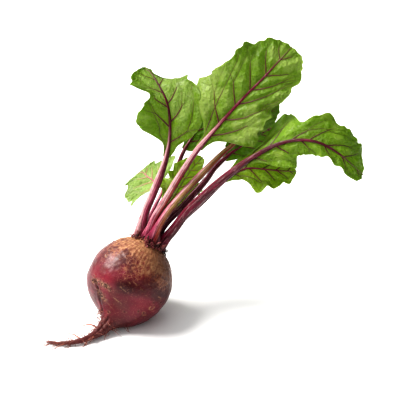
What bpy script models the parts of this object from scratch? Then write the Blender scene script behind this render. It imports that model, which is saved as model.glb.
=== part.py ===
"""Beetroot with its own leaves: globe and taproot in one piece, nine leaves, dried stubs, side rootlets.

Sizes are in millimetres until place() turns them into metres.
Origin: centre of the small flat the root rests on. +Z up. The leaves lean towards +X.
"""
import bmesh
import bpy
import numpy as np

# ---------------------------------------------------------------- sizes (mm)
GAP = 0.5             # clear space between two pieces that grow out of one another
SHEET = 1.0           # leaf blade thickness
FOOT_EASE = 8.0       # a stalk's rings turn from the crown's direction to its own over this length
TIP_ROUND = 0.05      # share of the blade over which its tip rounds off
BLADE_END = 0.985     # the grid stops just short of the tip, so no side shrinks to nothing
ROOT_EASE = 0.09      # the root's rings turn gently, so that the wide ones never cross
ROOT_SIDES, STALK_SIDES, STALK_RINGS = 30, 8, 22
BIG_LEAVES, BIG_GRID, SMALL_GRID = "ABCEF", (17, 12), (12, 8)      # grid steps along and across
CROWN = np.array([17.0, 14.5, 65.0])         # centre of the crown disc
CROWN_UP = np.array([0.45, 0.38, 0.81])      # direction the crown faces

# globe and taproot: a bent centre line, and the radius at each distance along it
ROOT_LINE = [(17, 14.5, 65), (8.5, 7.2, 49.5), (0, 0, 34), (-7, -9, 21), (-12, -19, 13), (-17, -26, 8.5),
             (-23, -32, 5.4), (-31, -38, 3.9), (-42, -43, 2.9), (-55, -46, 2.2), (-67, -47, 1.3)]
ROOT_RADIUS = [(0, 9.5), (1, 12), (3, 14.5), (5.5, 18.5), (9.5, 23.7), (14.5, 28.3), (21, 32.4), (29, 35.2),
               (38, 36.1), (45, 35.4), (50, 34), (55, 31.6), (60, 28.2), (64, 24.6), (68, 19.8), (71, 15),
               (74, 10.8), (77, 8.2), (81, 6.6), (88, 5), (98, 3.6), (110, 2.5), (123, 1.7), (136, 0.7)]

# every leaf: centre line from the crown to the tip, stalk radii, where the blade starts, which way
# the blade faces, half-widths with forward sweep, and how far each half lifts and curls (degrees)
LEAVES = {
    "A": dict(
        line=[(9.5, 15, 69.5), (13, 21, 87), (20, 27, 103), (27, 30, 120), (32, 34, 135), (35, 35, 152),
              (35, 39, 170), (32, 43, 183), (26, 52, 192), (20, 63, 198), (13, 76, 201)],
        stalk=(2.4, 3.4, 1.9, 0.5), starts=0.435,
        face=[(0, -0.91, 0.42), (0, -0.91, 0.42), (0, -0.86, 0.51), (-0.1, -0.65, 0.75)],
        width=[(0, 3, 3, 0.2), (0.12, 5, 8, 0.2), (0.2, 15, 19, 0.1), (0.3, 28, 28, 0.05), (0.5, 24, 28, 0.1),
               (0.62, 16, 25, 0), (0.72, 15, 21, 0), (0.84, 17, 17, -0.1), (0.93, 12, 11, 0), (1, 5, 5, 0)],
        lift=[(0, 20, 20, 0, 0), (0.3, 0, 10, -10, 0), (0.6, 10, 10, 20, 0), (0.8, 20, -40, 30, -30),
              (1, 20, -50, 40, -20)]),
    "B": dict(
        line=[(13.5, 16.5, 66.5), (16, 24, 79), (21, 31, 89), (26, 38, 97), (28, 45, 101), (24, 51, 102),
              (19, 59, 102), (13, 67, 103), (7, 75, 105)],
        stalk=(1.4, 1.5, 1.0, 0.4), starts=0.59,
        face=[(-0.2, -0.5, 0.84), (-0.2, -0.6, 0.77), (-0.2, -0.5, 0.84)],
        width=[(0, 2, 2, 0), (0.12, 8, 4, 0), (0.3, 26, 17, 0), (0.6, 28, 23, 0), (0.85, 17, 17, 0.2),
               (1, 4, 4, 0)],
        lift=[(0, 0, 0, 0, 0), (1, 0, 0, 0, 0)]),
    "C": dict(
        line=[(15.5, 11, 68), (21, 17, 84), (31, 20, 101), (44, 23, 123), (58, 24, 145), (76, 25, 167),
              (94, 26, 188), (112, 30, 206), (128, 39, 221), (136, 48, 227)],
        stalk=(2.3, 3.0, 2.2, 0.5), starts=0.435,
        face=[(0, -0.91, 0.42), (0, -0.91, 0.42), (0, -0.86, 0.51), (0.1, -0.74, 0.66)],
        width=[(0, 3, 3, 0.35), (0.1, 4, 6, 0.35), (0.13, 12, 12, 0.35), (0.17, 31, 27, 0.3), (0.2, 34, 34, 0.3),
               (0.3, 33, 33, 0.3), (0.48, 29, 33, 0.3), (0.61, 28, 29, 0.3), (0.72, 26, 26, 0.3),
               (0.88, 18, 17, 0.3), (0.95, 12, 11, 0.2), (1, 5, 5, 0)],
        lift=[(0, 20, 10, 0, 0), (0.3, 5, -5, 0, 0), (0.6, 5, -5, 0, 0), (1, 0, 0, -10, -10)]),
    "D": dict(
        line=[(17.5, 20, 62.5), (22, 26, 77), (29, 29, 87), (37, 33, 98), (46, 38, 111), (54, 43, 121),
              (63, 46, 130)],
        stalk=(1.1, 1.0, 0.9, 0.4), starts=0.36,
        face=[(0, -0.91, 0.42), (0, -0.91, 0.42), (0, -0.86, 0.51)],
        width=[(0, 3, 7, 0.1), (0.12, 8, 12, 0.1), (0.3, 14, 13, 0), (0.55, 15, 14, 0), (0.8, 9, 10, 0.1),
               (0.93, 5, 6, 0), (1, 3, 3, 0)],
        lift=[(0, 0, 0, 0, 0), (1, 0, 0, 0, 0)]),
    "E": dict(
        line=[(19.5, 7, 67.5), (25, 11, 80), (33, 15, 92), (46, 20, 107), (63, 28, 123), (80, 38, 137),
              (93, 47, 145), (105, 57, 156), (117, 66, 167), (127, 78, 174)],
        stalk=(2.5, 3.1, 1.8, 0.5), starts=0.6,
        face=[(0, -0.91, 0.42), (0, -0.91, 0.42), (0, -0.86, 0.51)],
        width=[(0, 3, 3, 0.3), (0.15, 9, 5, 0.3), (0.3, 19, 12, 0.3), (0.6, 20, 15, 0.3), (0.85, 14, 11, 0.2),
               (1, 4, 4, 0)],
        lift=[(0, 0, -20, 0, 0), (0.5, 0, -30, 0, 0), (1, 0, -10, 0, 0)]),
    "F": dict(
        line=[(25, 10.5, 63), (37, 12, 76), (49, 12, 93), (66, 12, 111), (83, 10, 128), (99, 6, 143),
              (112, 3, 153), (125, -1, 161), (140, -4, 165), (155, -8, 164), (169, -11, 157), (181, -11, 147),
              (192, -8, 136)],
        stalk=(2.9, 3.8, 2.6, 0.5), starts=0.45,
        face=[(-0.18, -0.61, 0.77), (0, -0.75, 0.67), (0.09, -0.68, 0.73), (0.41, -0.57, 0.72)],
        width=[(0, 3, 3, 0.3), (0.08, 8, 3, 0.3), (0.13, 22, 7, 0.5), (0.19, 31, 17, 0.5), (0.26, 32, 22, 0.4),
               (0.36, 24, 22, 0.2), (0.46, 17, 13, 0.1), (0.54, 22, 10, 0.1), (0.62, 26, 9, 0.1),
               (0.75, 25, 8, 0.1), (0.88, 23, 9, 0.05), (0.95, 15, 10, 0), (1, 7, 7, 0)],
        lift=[(0, 10, -10, 0, 0), (0.3, 0, -20, 0, 0), (0.6, 0, -30, 0, 0), (0.8, 0, -20, 0, 0), (1, 0, 0, 0, 0)]),
    "G": dict(
        line=[(20, 14.5, 64), (31, 20, 79), (43, 23, 91), (55, 28, 103), (66, 34, 114), (74, 40, 123),
              (88, 51, 132), (102, 63, 137), (117, 77, 141), (130, 90, 143)],
        stalk=(2.1, 2.8, 1.6, 0.5), starts=0.58,
        face=[(0, -0.91, 0.42), (0, -0.91, 0.42), (0, -0.86, 0.51)],
        width=[(0, 3, 3, 0.3), (0.15, 9, 9, 0.3), (0.3, 15, 15, 0.2), (0.6, 17, 17, 0.2), (0.85, 14, 14, 0.2),
               (1, 4, 4, 0)],
        lift=[(0, 0, 0, 0, 0), (1, 0, 0, 0, 0)]),
    "H": dict(
        line=[(23.5, 17.5, 60.5), (36, 18, 73), (48, 18, 86), (63, 18, 101), (77, 18, 116), (88, 18, 126),
              (100, 16, 132), (114, 14, 132), (128, 13, 131), (141, 16, 129)],
        stalk=(2.0, 2.3, 1.3, 0.4), starts=0.56,
        face=[(0, -0.75, 0.67), (0, -0.75, 0.67), (0, -0.81, 0.59), (0.1, -0.8, 0.59)],
        width=[(0, 2, 2, 0.1), (0.12, 5, 5, 0.1), (0.28, 12, 9, 0), (0.4, 14, 15, 0), (0.5, 14, 20, 0),
               (0.68, 12, 15, 0), (0.85, 7, 9, 0.1), (0.95, 3, 5, 0.1), (1, 2, 2, 0)],
        lift=[(0, 10, -10, 0, 0), (0.3, -10, 0, 0, 0), (0.6, -20, 0, 0, 0), (0.8, 0, 0, 0, 0), (1, 0, 0, 0, 0)]),
    "I": dict(
        line=[(12.5, 21.5, 65), (20, 30, 80), (32, 42, 97), (39, 53, 112), (45, 62, 126), (52, 70, 136),
              (59, 78, 145), (66, 89, 154), (71, 102, 162)],
        stalk=(1.7, 2.2, 1.5, 0.4), starts=0.6,
        face=[(0, -0.91, 0.42), (0, -0.91, 0.42), (0, -0.86, 0.51)],
        width=[(0, 3, 3, 0.3), (0.15, 4, 9, 0.3), (0.3, 6, 15, 0.3), (0.6, 10, 17, 0.3), (0.85, 10, 12, 0.2),
               (1, 3, 3, 0)],
        lift=[(0, 0, 0, 0, 0), (1, 0, 0, 0, 0)]),
}

# dried stumps of shed leaves round the crown: angle round it, distance out, height, base radius, lean
STUBS = [(155, 12.6, 6, 1.5, 0.5), (205, 13.2, 7, 1.7, 0.35), (250, 12.8, 5, 1.5, 0.6), (292, 13.4, 7, 1.6, 0.4),
         (316, 13.8, 6, 1.5, 0.5), (60, 13.2, 6, 1.6, 0.4), (105, 13.0, 5, 1.5, 0.5)]

# side rootlets off the taproot: points, base radius
ROOTLETS = [
    ([(-28, -25, 5.5), (-32, -23.5, 6), (-37, -22.5, 4.2), (-42, -22, 2)], 0.9),
    ([(-27.5, -42, 5), (-30, -46, 6), (-33.5, -51, 5), (-36, -55, 2)], 0.7),
    ([(-40, -38.6, 4.2), (-45, -36, 4.8), (-50, -35, 3.2), (-54, -33, 1.4)], 0.6),
    ([(-51, -49.5, 3), (-55, -53, 3.4), (-59, -55, 1.8), (-64, -56.5, 1)], 0.5),
]


# ---------------------------------------------------------------- curves
def smooth(points, t):
    """Points on a curve that passes through every given point."""
    p = np.asarray(points, float)
    n = len(p) - 1
    p = np.vstack([2 * p[0] - p[1], p, 2 * p[-1] - p[-2]])
    x = np.clip(np.asarray(t, float), 0, 1) * n
    i = np.minimum(x.astype(int), n - 1)
    f = (x - i)[:, None]
    a, b, c, d = p[i], p[i + 1], p[i + 2], p[i + 3]
    return 0.5 * (2 * b + (c - a) * f + (2 * a - 5 * b + 4 * c - d) * f**2 + (3 * b - a - 3 * c + d) * f**3)


def unit(v):
    return v / np.linalg.norm(v, axis=-1, keepdims=True)


class Line:
    """A smooth line measured by its own length: 0 at the start, 1 at the end."""

    def __init__(self, points):
        self.xyz = smooth(points, np.linspace(0, 1, 800))
        step = np.linalg.norm(np.diff(self.xyz, axis=0), axis=1)
        self.arc = np.concatenate([[0], np.cumsum(step)])
        self.length = self.arc[-1]

    def at(self, s):
        d = np.atleast_1d(s) * self.length
        return np.stack([np.interp(d, self.arc, self.xyz[:, k]) for k in range(3)], 1)

    def along(self, s, h=0.02):
        s = np.atleast_1d(s)
        return unit(self.at(np.clip(s + h, 0, 1)) - self.at(np.clip(s - h, 0, 1)))


def stations(rows, s, soft=0.05):
    """Values between hand-set stations, with the corners eased over a short distance."""
    rows = np.asarray(rows, float)
    spread = np.linspace(-soft, soft, 9)
    weight = np.cos(spread / soft * np.pi / 2) ** 2 + 0.05
    weight /= weight.sum()
    out = []
    for c in range(1, rows.shape[1]):
        out.append(sum(w * np.interp(s + d, rows[:, 0], rows[:, c]) for w, d in zip(weight, spread)))
    return out


# ---------------------------------------------------------------- meshes
def finish(name, bm, material, thick=0.0):
    """Turn a bmesh that is in millimetres into a named, smooth object in metres."""
    bmesh.ops.scale(bm, vec=(0.001, 0.001, 0.001), verts=bm.verts)
    bmesh.ops.recalc_face_normals(bm, faces=bm.faces)
    mesh = bpy.data.meshes.new(name)
    bm.to_mesh(mesh)
    bm.free()
    mesh.shade_smooth()
    mesh.materials.append(material)
    item = bpy.data.objects.new(name, mesh)
    bpy.context.scene.collection.objects.link(item)
    if thick:
        wall = item.modifiers.new("thickness", "SOLIDIFY")
        wall.thickness = thick / 1000
        wall.offset = 0
    return item


def rings_along(line, stations_at, radius, first, ease_over):
    """Centre, two cross directions and radius of every ring of a tube."""
    centre, tangent = line.at(stations_at), line.along(stations_at, ease_over)
    if first is not None:
        ease = np.clip(1 - stations_at * line.length / FOOT_EASE, 0, 1)[:, None]
        tangent = unit(tangent * (1 - ease) + unit(np.array(first)) * ease)
    u = unit(np.cross(tangent[0], (0.0, 1.0, 0.0)))
    rows = []
    for c, t, r in zip(centre, tangent, radius):
        u = unit(u - t * (u @ t))
        rows.append((c, r * u, r * np.cross(t, u)))
    return rows


def tube(name, material, line, stations_at, radius, sides, first=None, floor=None, ease_over=0.02):
    """A closed cylinder with one ring for each station, laid along a line and swollen to each radius."""
    rows = rings_along(line, stations_at, radius, first, ease_over)
    bm = bmesh.new()
    bmesh.ops.create_cone(bm, cap_ends=True, segments=sides, radius1=1, radius2=1, depth=1)
    upright = [e for e in bm.edges if abs(e.verts[0].co.z - e.verts[1].co.z) > 0.5]
    bmesh.ops.subdivide_edges(bm, edges=upright, cuts=len(rows) - 2, use_grid_fill=True)
    for v in bm.verts:
        centre, u, w = rows[round((v.co.z + 0.5) * (len(rows) - 1))]
        v.co = centre + v.co.x * u + v.co.y * w
        if floor is not None:
            v.co.z = max(v.co.z, floor)
    return finish(name, bm, material)


def stalk_radius(leaf, s):
    """Radius of stalk and midrib at s: base, swelling, start of the blade, tip."""
    base, full, start, tip = leaf["stalk"]
    blade_part = 1 - leaf["starts"]
    rows = [(0, base), (0.08, full), (leaf["starts"] * 0.7, full * 0.95), (leaf["starts"] + 0.05, start),
            (leaf["starts"] + blade_part * 0.5, start * 0.5 + tip * 0.3), (1, tip)]
    return np.interp(s, [r[0] for r in rows], [r[1] for r in rows])


def blade_surface(leaf, s, v):
    """Points of the leaf blade: s from 0 (start) to 1 (tip), v from -1 (left edge) to 1 (right edge)."""
    line = Line(leaf["line"])
    t = leaf["starts"] + (1 - leaf["starts"]) * s
    p, tangent = line.at(t), line.along(t)
    face = smooth(leaf["face"], s)
    n = unit(face - (face * tangent).sum(1)[:, None] * tangent)
    side = np.cross(tangent, n)
    left, right, sweep = stations(leaf["width"], s, 0.03)
    lift_l, lift_r, curl_l, curl_r = stations(leaf["lift"], s, 0.1)
    on_right = v > 0
    width = np.where(on_right, right, left) * np.sqrt(np.clip((1 - s) / TIP_ROUND, 0, 1))
    lift = np.radians(np.where(on_right, lift_r, lift_l))
    curl = np.radians(np.where(on_right, curl_r, curl_l))
    reach = width * np.abs(v)
    angle = lift + curl * np.abs(v) / 2
    toward = np.clip(np.maximum(lift_l, lift_r), 0, 50)
    back = (stalk_radius(leaf, t) + GAP + SHEET / 2) / np.cos(np.radians(toward))
    out = p - back[:, None] * n
    out += reach[:, None] * (np.cos(angle) * np.where(on_right, 1, -1))[:, None] * side
    out += (reach * np.sin(angle))[:, None] * n + (reach * sweep)[:, None] * tangent
    return out


def blade(name, material, leaf, along, across):
    """The blade: a flat grid laid on the leaf's surface, then given its thickness."""
    bm = bmesh.new()
    bmesh.ops.create_grid(bm, x_segments=across, y_segments=along, size=1)
    grid = np.array([v.co for v in bm.verts])
    place = blade_surface(leaf, (grid[:, 1] + 1) / 2 * BLADE_END, grid[:, 0].round(5))
    for v, p in zip(bm.verts, place):
        v.co = p
    return finish(name, bm, material, thick=SHEET)


def paint(name, colour, roughness):
    """A plain material for one kind of piece."""
    material = bpy.data.materials.new(name)
    material.use_nodes = True
    shader = material.node_tree.nodes["Principled BSDF"]
    shader.inputs["Base Color"].default_value = (*colour, 1)
    shader.inputs["Roughness"].default_value = roughness
    shader.inputs["Metallic"].default_value = 0
    return material


# ---------------------------------------------------------------- build
for item in list(bpy.data.objects):
    bpy.data.objects.remove(item, do_unlink=True)

SKIN = paint("beet_skin", (0.19, 0.025, 0.045), 0.42)
STALK = paint("leaf_stalk", (0.36, 0.03, 0.09), 0.35)
LEAF = paint("leaf_blade", (0.11, 0.26, 0.02), 0.4)
DRY = paint("dried_stub", (0.16, 0.07, 0.045), 0.8)
ROOTLET = paint("rootlet", (0.2, 0.08, 0.06), 0.7)

# the globe and the taproot are one piece, flattened where it rests
root_line = Line(ROOT_LINE)
print("root line length %.1f mm" % root_line.length)
profile = smooth(ROOT_RADIUS, np.linspace(0, 1, 400))
reach = np.concatenate([[0, 1, 3, 5.5, 8.5], np.linspace(12, 84, 25), np.linspace(90, ROOT_RADIUS[-1][0], 8)])
girth = np.interp(reach, profile[:, 0], profile[:, 1])
tube("beet_root", SKIN, root_line, reach / reach[-1], girth, ROOT_SIDES, first=-CROWN_UP, floor=0.0,
     ease_over=ROOT_EASE)

# each leaf is a stalk with its midrib, and a blade that lies just behind the midrib
for key, leaf in LEAVES.items():
    s = np.linspace(0, 1, STALK_RINGS)
    tube("leaf_%s_stem" % key, STALK, Line(leaf["line"]), s, stalk_radius(leaf, s), STALK_SIDES, first=CROWN_UP)
    along, across = BIG_GRID if key in BIG_LEAVES else SMALL_GRID
    blade("leaf_%s_blade" % key, LEAF, leaf, along, across)

# dried stumps stand round the crown, just clear of its skin
up = unit(CROWN_UP)
across_crown = unit(np.cross((0.0, 1.0, 0.0), up))
away = np.cross(up, across_crown)
taper = np.array([1, 0.95, 0.7, 0.45, 0.2])
for n, (angle, out, tall, radius, lean) in enumerate(STUBS, 1):
    turn = np.radians(angle)
    outward = np.cos(turn) * across_crown + np.sin(turn) * away
    shoulder_drop = (out - 12) * 0.9
    foot = CROWN + outward * out + up * (0.2 - shoulder_drop + radius * 0.7)
    path = [foot, foot + up * tall * 0.5 + outward * tall * lean * 0.3, foot + up * tall + outward * tall * lean]
    tube("dried_stub_%d" % n, DRY, Line(path), np.linspace(0, 1, 5), taper * radius, 6, first=up)

# side rootlets start just clear of the taproot
for n, (path, radius) in enumerate(ROOTLETS, 1):
    tube("rootlet_%d" % n, ROOTLET, Line(path), np.linspace(0, 1, 10), np.linspace(1, 0.35, 10) * radius, 6)

print("pieces %d" % len(bpy.data.objects))
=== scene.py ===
# %% [markdown]
# # A beetroot with its leaves
# This script dresses a plain engineering model of a beetroot. The plain model fixes where everything is:
# one swollen root, nine stalked leaves, a few dried stumps and side rootlets. Here each of them gets the
# surface of the real thing. All sizes below are in millimetres, as a gardener would measure them, and MM
# turns them into the metres that Blender and the plain model use.

import bmesh
import bpy
import numpy as np
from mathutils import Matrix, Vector


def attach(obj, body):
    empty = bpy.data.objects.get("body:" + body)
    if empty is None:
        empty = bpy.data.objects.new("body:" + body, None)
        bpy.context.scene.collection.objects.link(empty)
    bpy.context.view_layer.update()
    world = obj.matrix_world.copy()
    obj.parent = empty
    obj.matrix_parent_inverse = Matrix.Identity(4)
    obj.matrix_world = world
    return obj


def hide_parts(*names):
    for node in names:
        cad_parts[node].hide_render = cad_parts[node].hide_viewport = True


MM = 0.001
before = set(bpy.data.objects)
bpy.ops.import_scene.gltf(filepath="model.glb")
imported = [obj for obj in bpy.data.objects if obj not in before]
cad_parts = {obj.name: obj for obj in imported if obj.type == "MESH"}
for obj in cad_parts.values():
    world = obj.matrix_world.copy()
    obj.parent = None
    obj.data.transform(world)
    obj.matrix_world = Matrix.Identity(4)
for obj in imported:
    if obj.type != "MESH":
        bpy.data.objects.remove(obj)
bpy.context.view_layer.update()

# %% [markdown]
# ## Camera
# The beetroot is looked at from a little above, from far enough away that nothing looks stretched.

# %% Camera
EYE = (60.4, -695.7, 435.0)
AIM = (60.4, 29.3, 96.9)
LENS, SENSOR = 84, 36      # focal length and width of the sensor, mm
scene = bpy.context.scene


def show(item):
    scene.collection.objects.link(item)
    return item


def point(item, way):
    """Turn a camera or a lamp so that it looks a given way."""
    item.rotation_euler = Vector(way).to_track_quat("-Z", "Y").to_euler()


sight = Vector(AIM) - Vector(EYE)
camera_data = bpy.data.cameras.new("camera")
camera_data.lens = LENS
camera_data.sensor_width = SENSOR
camera_data.clip_start = 0.01
camera = show(bpy.data.objects.new("camera", camera_data))
camera.location = Vector(EYE) * MM
point(camera, sight)
scene.camera = camera
scene.view_settings.view_transform = "Standard"
scene.view_settings.look = "High Contrast"
print("camera is", round(sight.length), "mm from what it looks at")

# %% [markdown]
# ## Writing materials as sums
# A material is a graph of nodes. Drawn by hand it is a tangle, so here a small class wraps a socket, and
# an ordinary Python expression such as `1 - mask * 0.5` adds the Math nodes that work it out.

# %% A socket that can be added and multiplied
class Wire:
    def __init__(self, paint, socket):
        self.paint = paint
        self.socket = socket

    def math(self, operation, first, second):
        return self.paint.node("ShaderNodeMath", {"operation": operation}, {0: first, 1: second})

    def __add__(self, other):
        return self.math("ADD", self, other)

    def __sub__(self, other):
        return self.math("SUBTRACT", self, other)

    def __rsub__(self, other):
        return self.math("SUBTRACT", other, self)

    def __mul__(self, other):
        return self.math("MULTIPLY", self, other)

    __radd__ = __add__
    __rmul__ = __mul__

    def ramp(self, low, high, start=0.0, end=1.0):
        """start below low, end above high, and a soft step between them."""
        values = {0: self, 1: low, 2: high, 3: start, 4: end}
        return self.paint.node("ShaderNodeMapRange", {"interpolation_type": "SMOOTHSTEP"}, values)

    def above(self, level, width):
        return (self - level).ramp(0.0, width)

    def below(self, level, width):
        return (level - self).ramp(0.0, width)


class Paint:
    """One material, or the light of the room, under construction."""

    def __init__(self, name, library=bpy.data.materials):
        self.made = library.new(name)
        self.made.use_nodes = True
        self.tree = self.made.node_tree

    def node(self, kind, settings, values, output=0):
        """Add any node: its settings first, then the values or links of its sockets."""
        made = self.tree.nodes.new(kind)
        for key, value in settings.items():
            setattr(made, key, value)
        for key, value in values.items():
            self.set(made.inputs[key], value)
        return Wire(self, made.outputs[output])

    def set(self, socket, value):
        if isinstance(value, Wire):
            self.tree.links.new(value.socket, socket)
        elif isinstance(value, tuple) and len(value) == 3 and len(socket.default_value) == 4:
            socket.default_value = (*value, 1)
        else:
            socket.default_value = value

    def place(self):
        return self.node("ShaderNodeTexCoord", {}, {}, "Object")

    def value(self, name, kind="Fac"):
        """What the mesh keeps on its points under a name: a number, a Vector or a Color."""
        return self.node("ShaderNodeAttribute", {"attribute_name": name}, {}, kind)

    def noise(self, where, scale, detail=3.0, rough=0.5, twist=0.0, output=0):
        values = {"Vector": where, "Scale": scale, "Detail": detail, "Roughness": rough, "Distortion": twist}
        return self.node("ShaderNodeTexNoise", {}, values, output)

    def streaks(self, where, around, along, *rest):
        """Noise on stretched coordinates: this many to a turn's radian, and to each mm along."""
        values = {0: where, 1: (around, along, 1.0)}
        stretched = self.node("ShaderNodeVectorMath", {"operation": "MULTIPLY"}, values)
        return self.noise(stretched, 1.0, *rest)

    def cells(self, where, scale):
        """Distance to the edges of a net of cells."""
        settings = {"feature": "DISTANCE_TO_EDGE"}
        return self.node("ShaderNodeTexVoronoi", settings, {"Vector": where, "Scale": scale})

    def shift(self, where, by, amount):
        """Move a pattern's coordinates a little by another vector."""
        settings = {"operation": "MULTIPLY_ADD"}
        return self.node("ShaderNodeVectorMath", settings, {0: by, 1: (amount,) * 3, 2: where})

    def layers(self, colour, *rows):
        """Lay colours over one another: each row is a mask and the colour that it lets through."""
        for mask, over in rows:
            colour = self.node("ShaderNodeMix", {"data_type": "RGBA"}, {0: mask, 6: colour, 7: over}, 2)
        return colour

    def bump(self, height, distance, strength):
        return self.node("ShaderNodeBump", {}, {"Height": height, "Distance": distance, "Strength": strength})

    def finish(self, **sockets):
        shader = self.tree.nodes["Principled BSDF"]
        for key, value in sockets.items():
            self.set(shader.inputs[key.replace("_", " ")], value)
        return self.made


print("a wire and a paint are ready")

# %% [markdown]
# ## Floor and light
# The beetroot stands on a white table in an almost white room that is brightest at the upper left. One
# large soft light hangs high on the left and a little behind, so it shines through the leaves; a weaker
# one fills in from the front. Table and lamps are part of the stage and not of the beetroot.

# %% Room light and lamps
ROOM_DARK, ROOM_BRIGHT = 0.10, 0.85      # strength of the room's light on the right, and from the upper left
BRIGHT_SIDE = (-0.66, 0.20, 0.72)
SUNS = [
    # name, direction it comes from, strength, how wide it is in degrees, colour
    ("key", (-0.60, 0.12, 0.78), 4.0, 30, (1.0, 0.985, 0.955)),
    ("fill", (-0.10, -0.88, 0.40), 0.24, 80, (0.97, 0.985, 1.0)),
]
room = Paint("room", bpy.data.worlds)
direction = room.node("ShaderNodeTexCoord", {}, {}, "Generated")
values = {0: direction, 1: BRIGHT_SIDE}
toward = room.node("ShaderNodeVectorMath", {"operation": "DOT_PRODUCT"}, values, "Value")
background = room.tree.nodes["Background"]
room.set(background.inputs["Color"], (1.0, 1.0, 1.0))
room.set(background.inputs["Strength"], toward.ramp(-0.1, 0.9, ROOM_DARK, ROOM_BRIGHT))
scene.world = room.made
for name, way, strength, width, colour in SUNS:
    lamp = bpy.data.lights.new(name, "SUN")
    lamp.energy = strength
    lamp.angle = np.radians(width)
    lamp.color = colour
    point(show(bpy.data.objects.new(name, lamp)), -Vector(way))
print("room light from", ROOM_DARK, "to", ROOM_BRIGHT, "and", len(SUNS), "soft suns")

# %% Table
TABLE_SIZE = 12            # half a side, m
TABLE_TOP = -0.0002        # a hair under the beetroot, m
bm = bmesh.new()
bmesh.ops.create_grid(bm, x_segments=1, y_segments=1, size=TABLE_SIZE)
mesh = bpy.data.meshes.new("table")
bm.to_mesh(mesh)
bm.free()
white = {"Base_Color": (0.90, 0.90, 0.90), "Emission_Color": (1.0, 1.0, 1.0), "Emission_Strength": 0.03}
mesh.materials.append(Paint("table_white").finish(Roughness=0.7, **white))
table = show(bpy.data.objects.new("table", mesh))
table.location.z = TABLE_TOP
print("the table is", 2 * TABLE_SIZE, "m wide")

# %% [markdown]
# ## Curves and gentle randomness
# Stalks, veins and the taproot all follow smooth lines. A line here passes through every point it is
# given and is measured by its own length, so 0.5 is halfway along it. The random waves are seeded, so the
# beetroot grows the same way each time.

# %% Curve helpers
def smooth(points, t):
    """Points on a curve that passes through every given point."""
    p = np.asarray(points, float)
    n = len(p) - 1
    p = np.vstack([2 * p[0] - p[1], p, 2 * p[-1] - p[-2]])
    x = np.clip(np.asarray(t, float), 0, 1) * n
    i = np.minimum(x.astype(int), n - 1)
    f = (x - i)[:, None]
    a, b, c, d = p[i], p[i + 1], p[i + 2], p[i + 3]
    return 0.5 * (2 * b + (c - a) * f + (2 * a - 5 * b + 4 * c - d) * f**2 + (3 * b - a - 3 * c + d) * f**3)


def unit(v):
    return v / np.linalg.norm(v, axis=-1, keepdims=True)


def ease(x, low, high):
    x = np.clip((x - low) / (high - low), 0, 1)
    return x * x * (3 - 2 * x)


def blend(first, second, share):
    """The first where share is 0, the second where it is 1."""
    return first * (1 - share) + second * share


def bell(x, wide):
    """1 at 0, and falling off on both sides."""
    return np.exp(-(x / wide) ** 2)


class Line:
    """A smooth line measured by its own length: 0 at the start, 1 at the end."""

    def __init__(self, points):
        self.xyz = smooth(points, np.linspace(0, 1, 1200))
        step = np.linalg.norm(np.diff(self.xyz, axis=0), axis=1)
        self.arc = np.concatenate([[0], np.cumsum(step)])
        self.length = self.arc[-1]

    def at(self, s):
        d = np.atleast_1d(s) * self.length
        return np.stack([np.interp(d, self.arc, self.xyz[:, k]) for k in range(3)], 1)

    def along(self, s, h=0.02):
        s = np.atleast_1d(s)
        return unit(self.at(np.clip(s + h, 0, 1)) - self.at(np.clip(s - h, 0, 1)))


def stations(rows, s, soft=0.05):
    """Values between given stations, with the corners eased over a short distance."""
    rows = np.asarray(rows, float)
    spread = np.linspace(-soft, soft, 9)
    weight = np.cos(spread / soft * np.pi / 2) ** 2 + 0.05
    weight /= weight.sum()
    out = []
    for c in range(1, rows.shape[1]):
        out.append(sum(w * np.interp(s + d, rows[:, 0], rows[:, c]) for w, d in zip(weight, spread)))
    return out


def wave(x, seed, knots=1024):
    """A smooth random wave between -1 and 1, with about one bump for each unit of x."""
    level = np.random.default_rng(seed).uniform(-1, 1, knots)
    i = np.floor(x).astype(int)
    return blend(level[i % knots], level[(i + 1) % knots], ease(x - i, 0, 1))


def dapple(x, y, seed, knots=128):
    """The same on a plane: smooth random bumps about one unit across."""
    level = np.random.default_rng(seed).uniform(-1, 1, (knots, knots))
    i, j = np.floor(x).astype(int), np.floor(y).astype(int)
    f, g = ease(x - i, 0, 1), ease(y - j, 0, 1)
    i, j, next_i, next_j = i % knots, j % knots, (i + 1) % knots, (j + 1) % knots
    near = blend(level[i, j], level[next_i, j], f)
    far = blend(level[i, next_j], level[next_i, next_j], f)
    return blend(near, far, g)


def lumps(spots, size, seed):
    """The same in space: smooth random bumps about size mm across."""
    rng = np.random.default_rng(seed)
    total = 0.0
    for k in range(14):
        way = unit(rng.normal(size=3)) * rng.uniform(0.6, 1.4) * 2 * np.pi / size / 2
        total = total + np.sin(spots @ way + rng.uniform(0, 2 * np.pi))
    return total / 3.7


def nearest(spots, lines):
    """Distance from each spot to the closest point of many points."""
    best = np.full(len(spots), 1e9)
    for start in range(0, len(lines), 400):
        d = spots[:, None, :] - lines[None, start:start + 400, :]
        best = np.minimum(best, (d * d).sum(2).min(1))
    return np.sqrt(best)


print("a wave:", wave(np.linspace(0, 3, 4), 1).round(2), "and lumps:", lumps(np.eye(3), 5, 1).round(2))

# %% [markdown]
# ## From a bmesh to a finished piece
# Every piece is made in a bmesh in millimetres and finished in the same way: scaled to metres, smooth, with
# its material, riding on the one body, standing for the plain solid it hides. Numbers that a material
# needs, such as how near a vein is, are stored on the points.

# %% Finish a piece
KINDS = {1: ("FLOAT", "value"), 3: ("FLOAT_VECTOR", "vector"), 4: ("FLOAT_COLOR", "color")}


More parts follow.
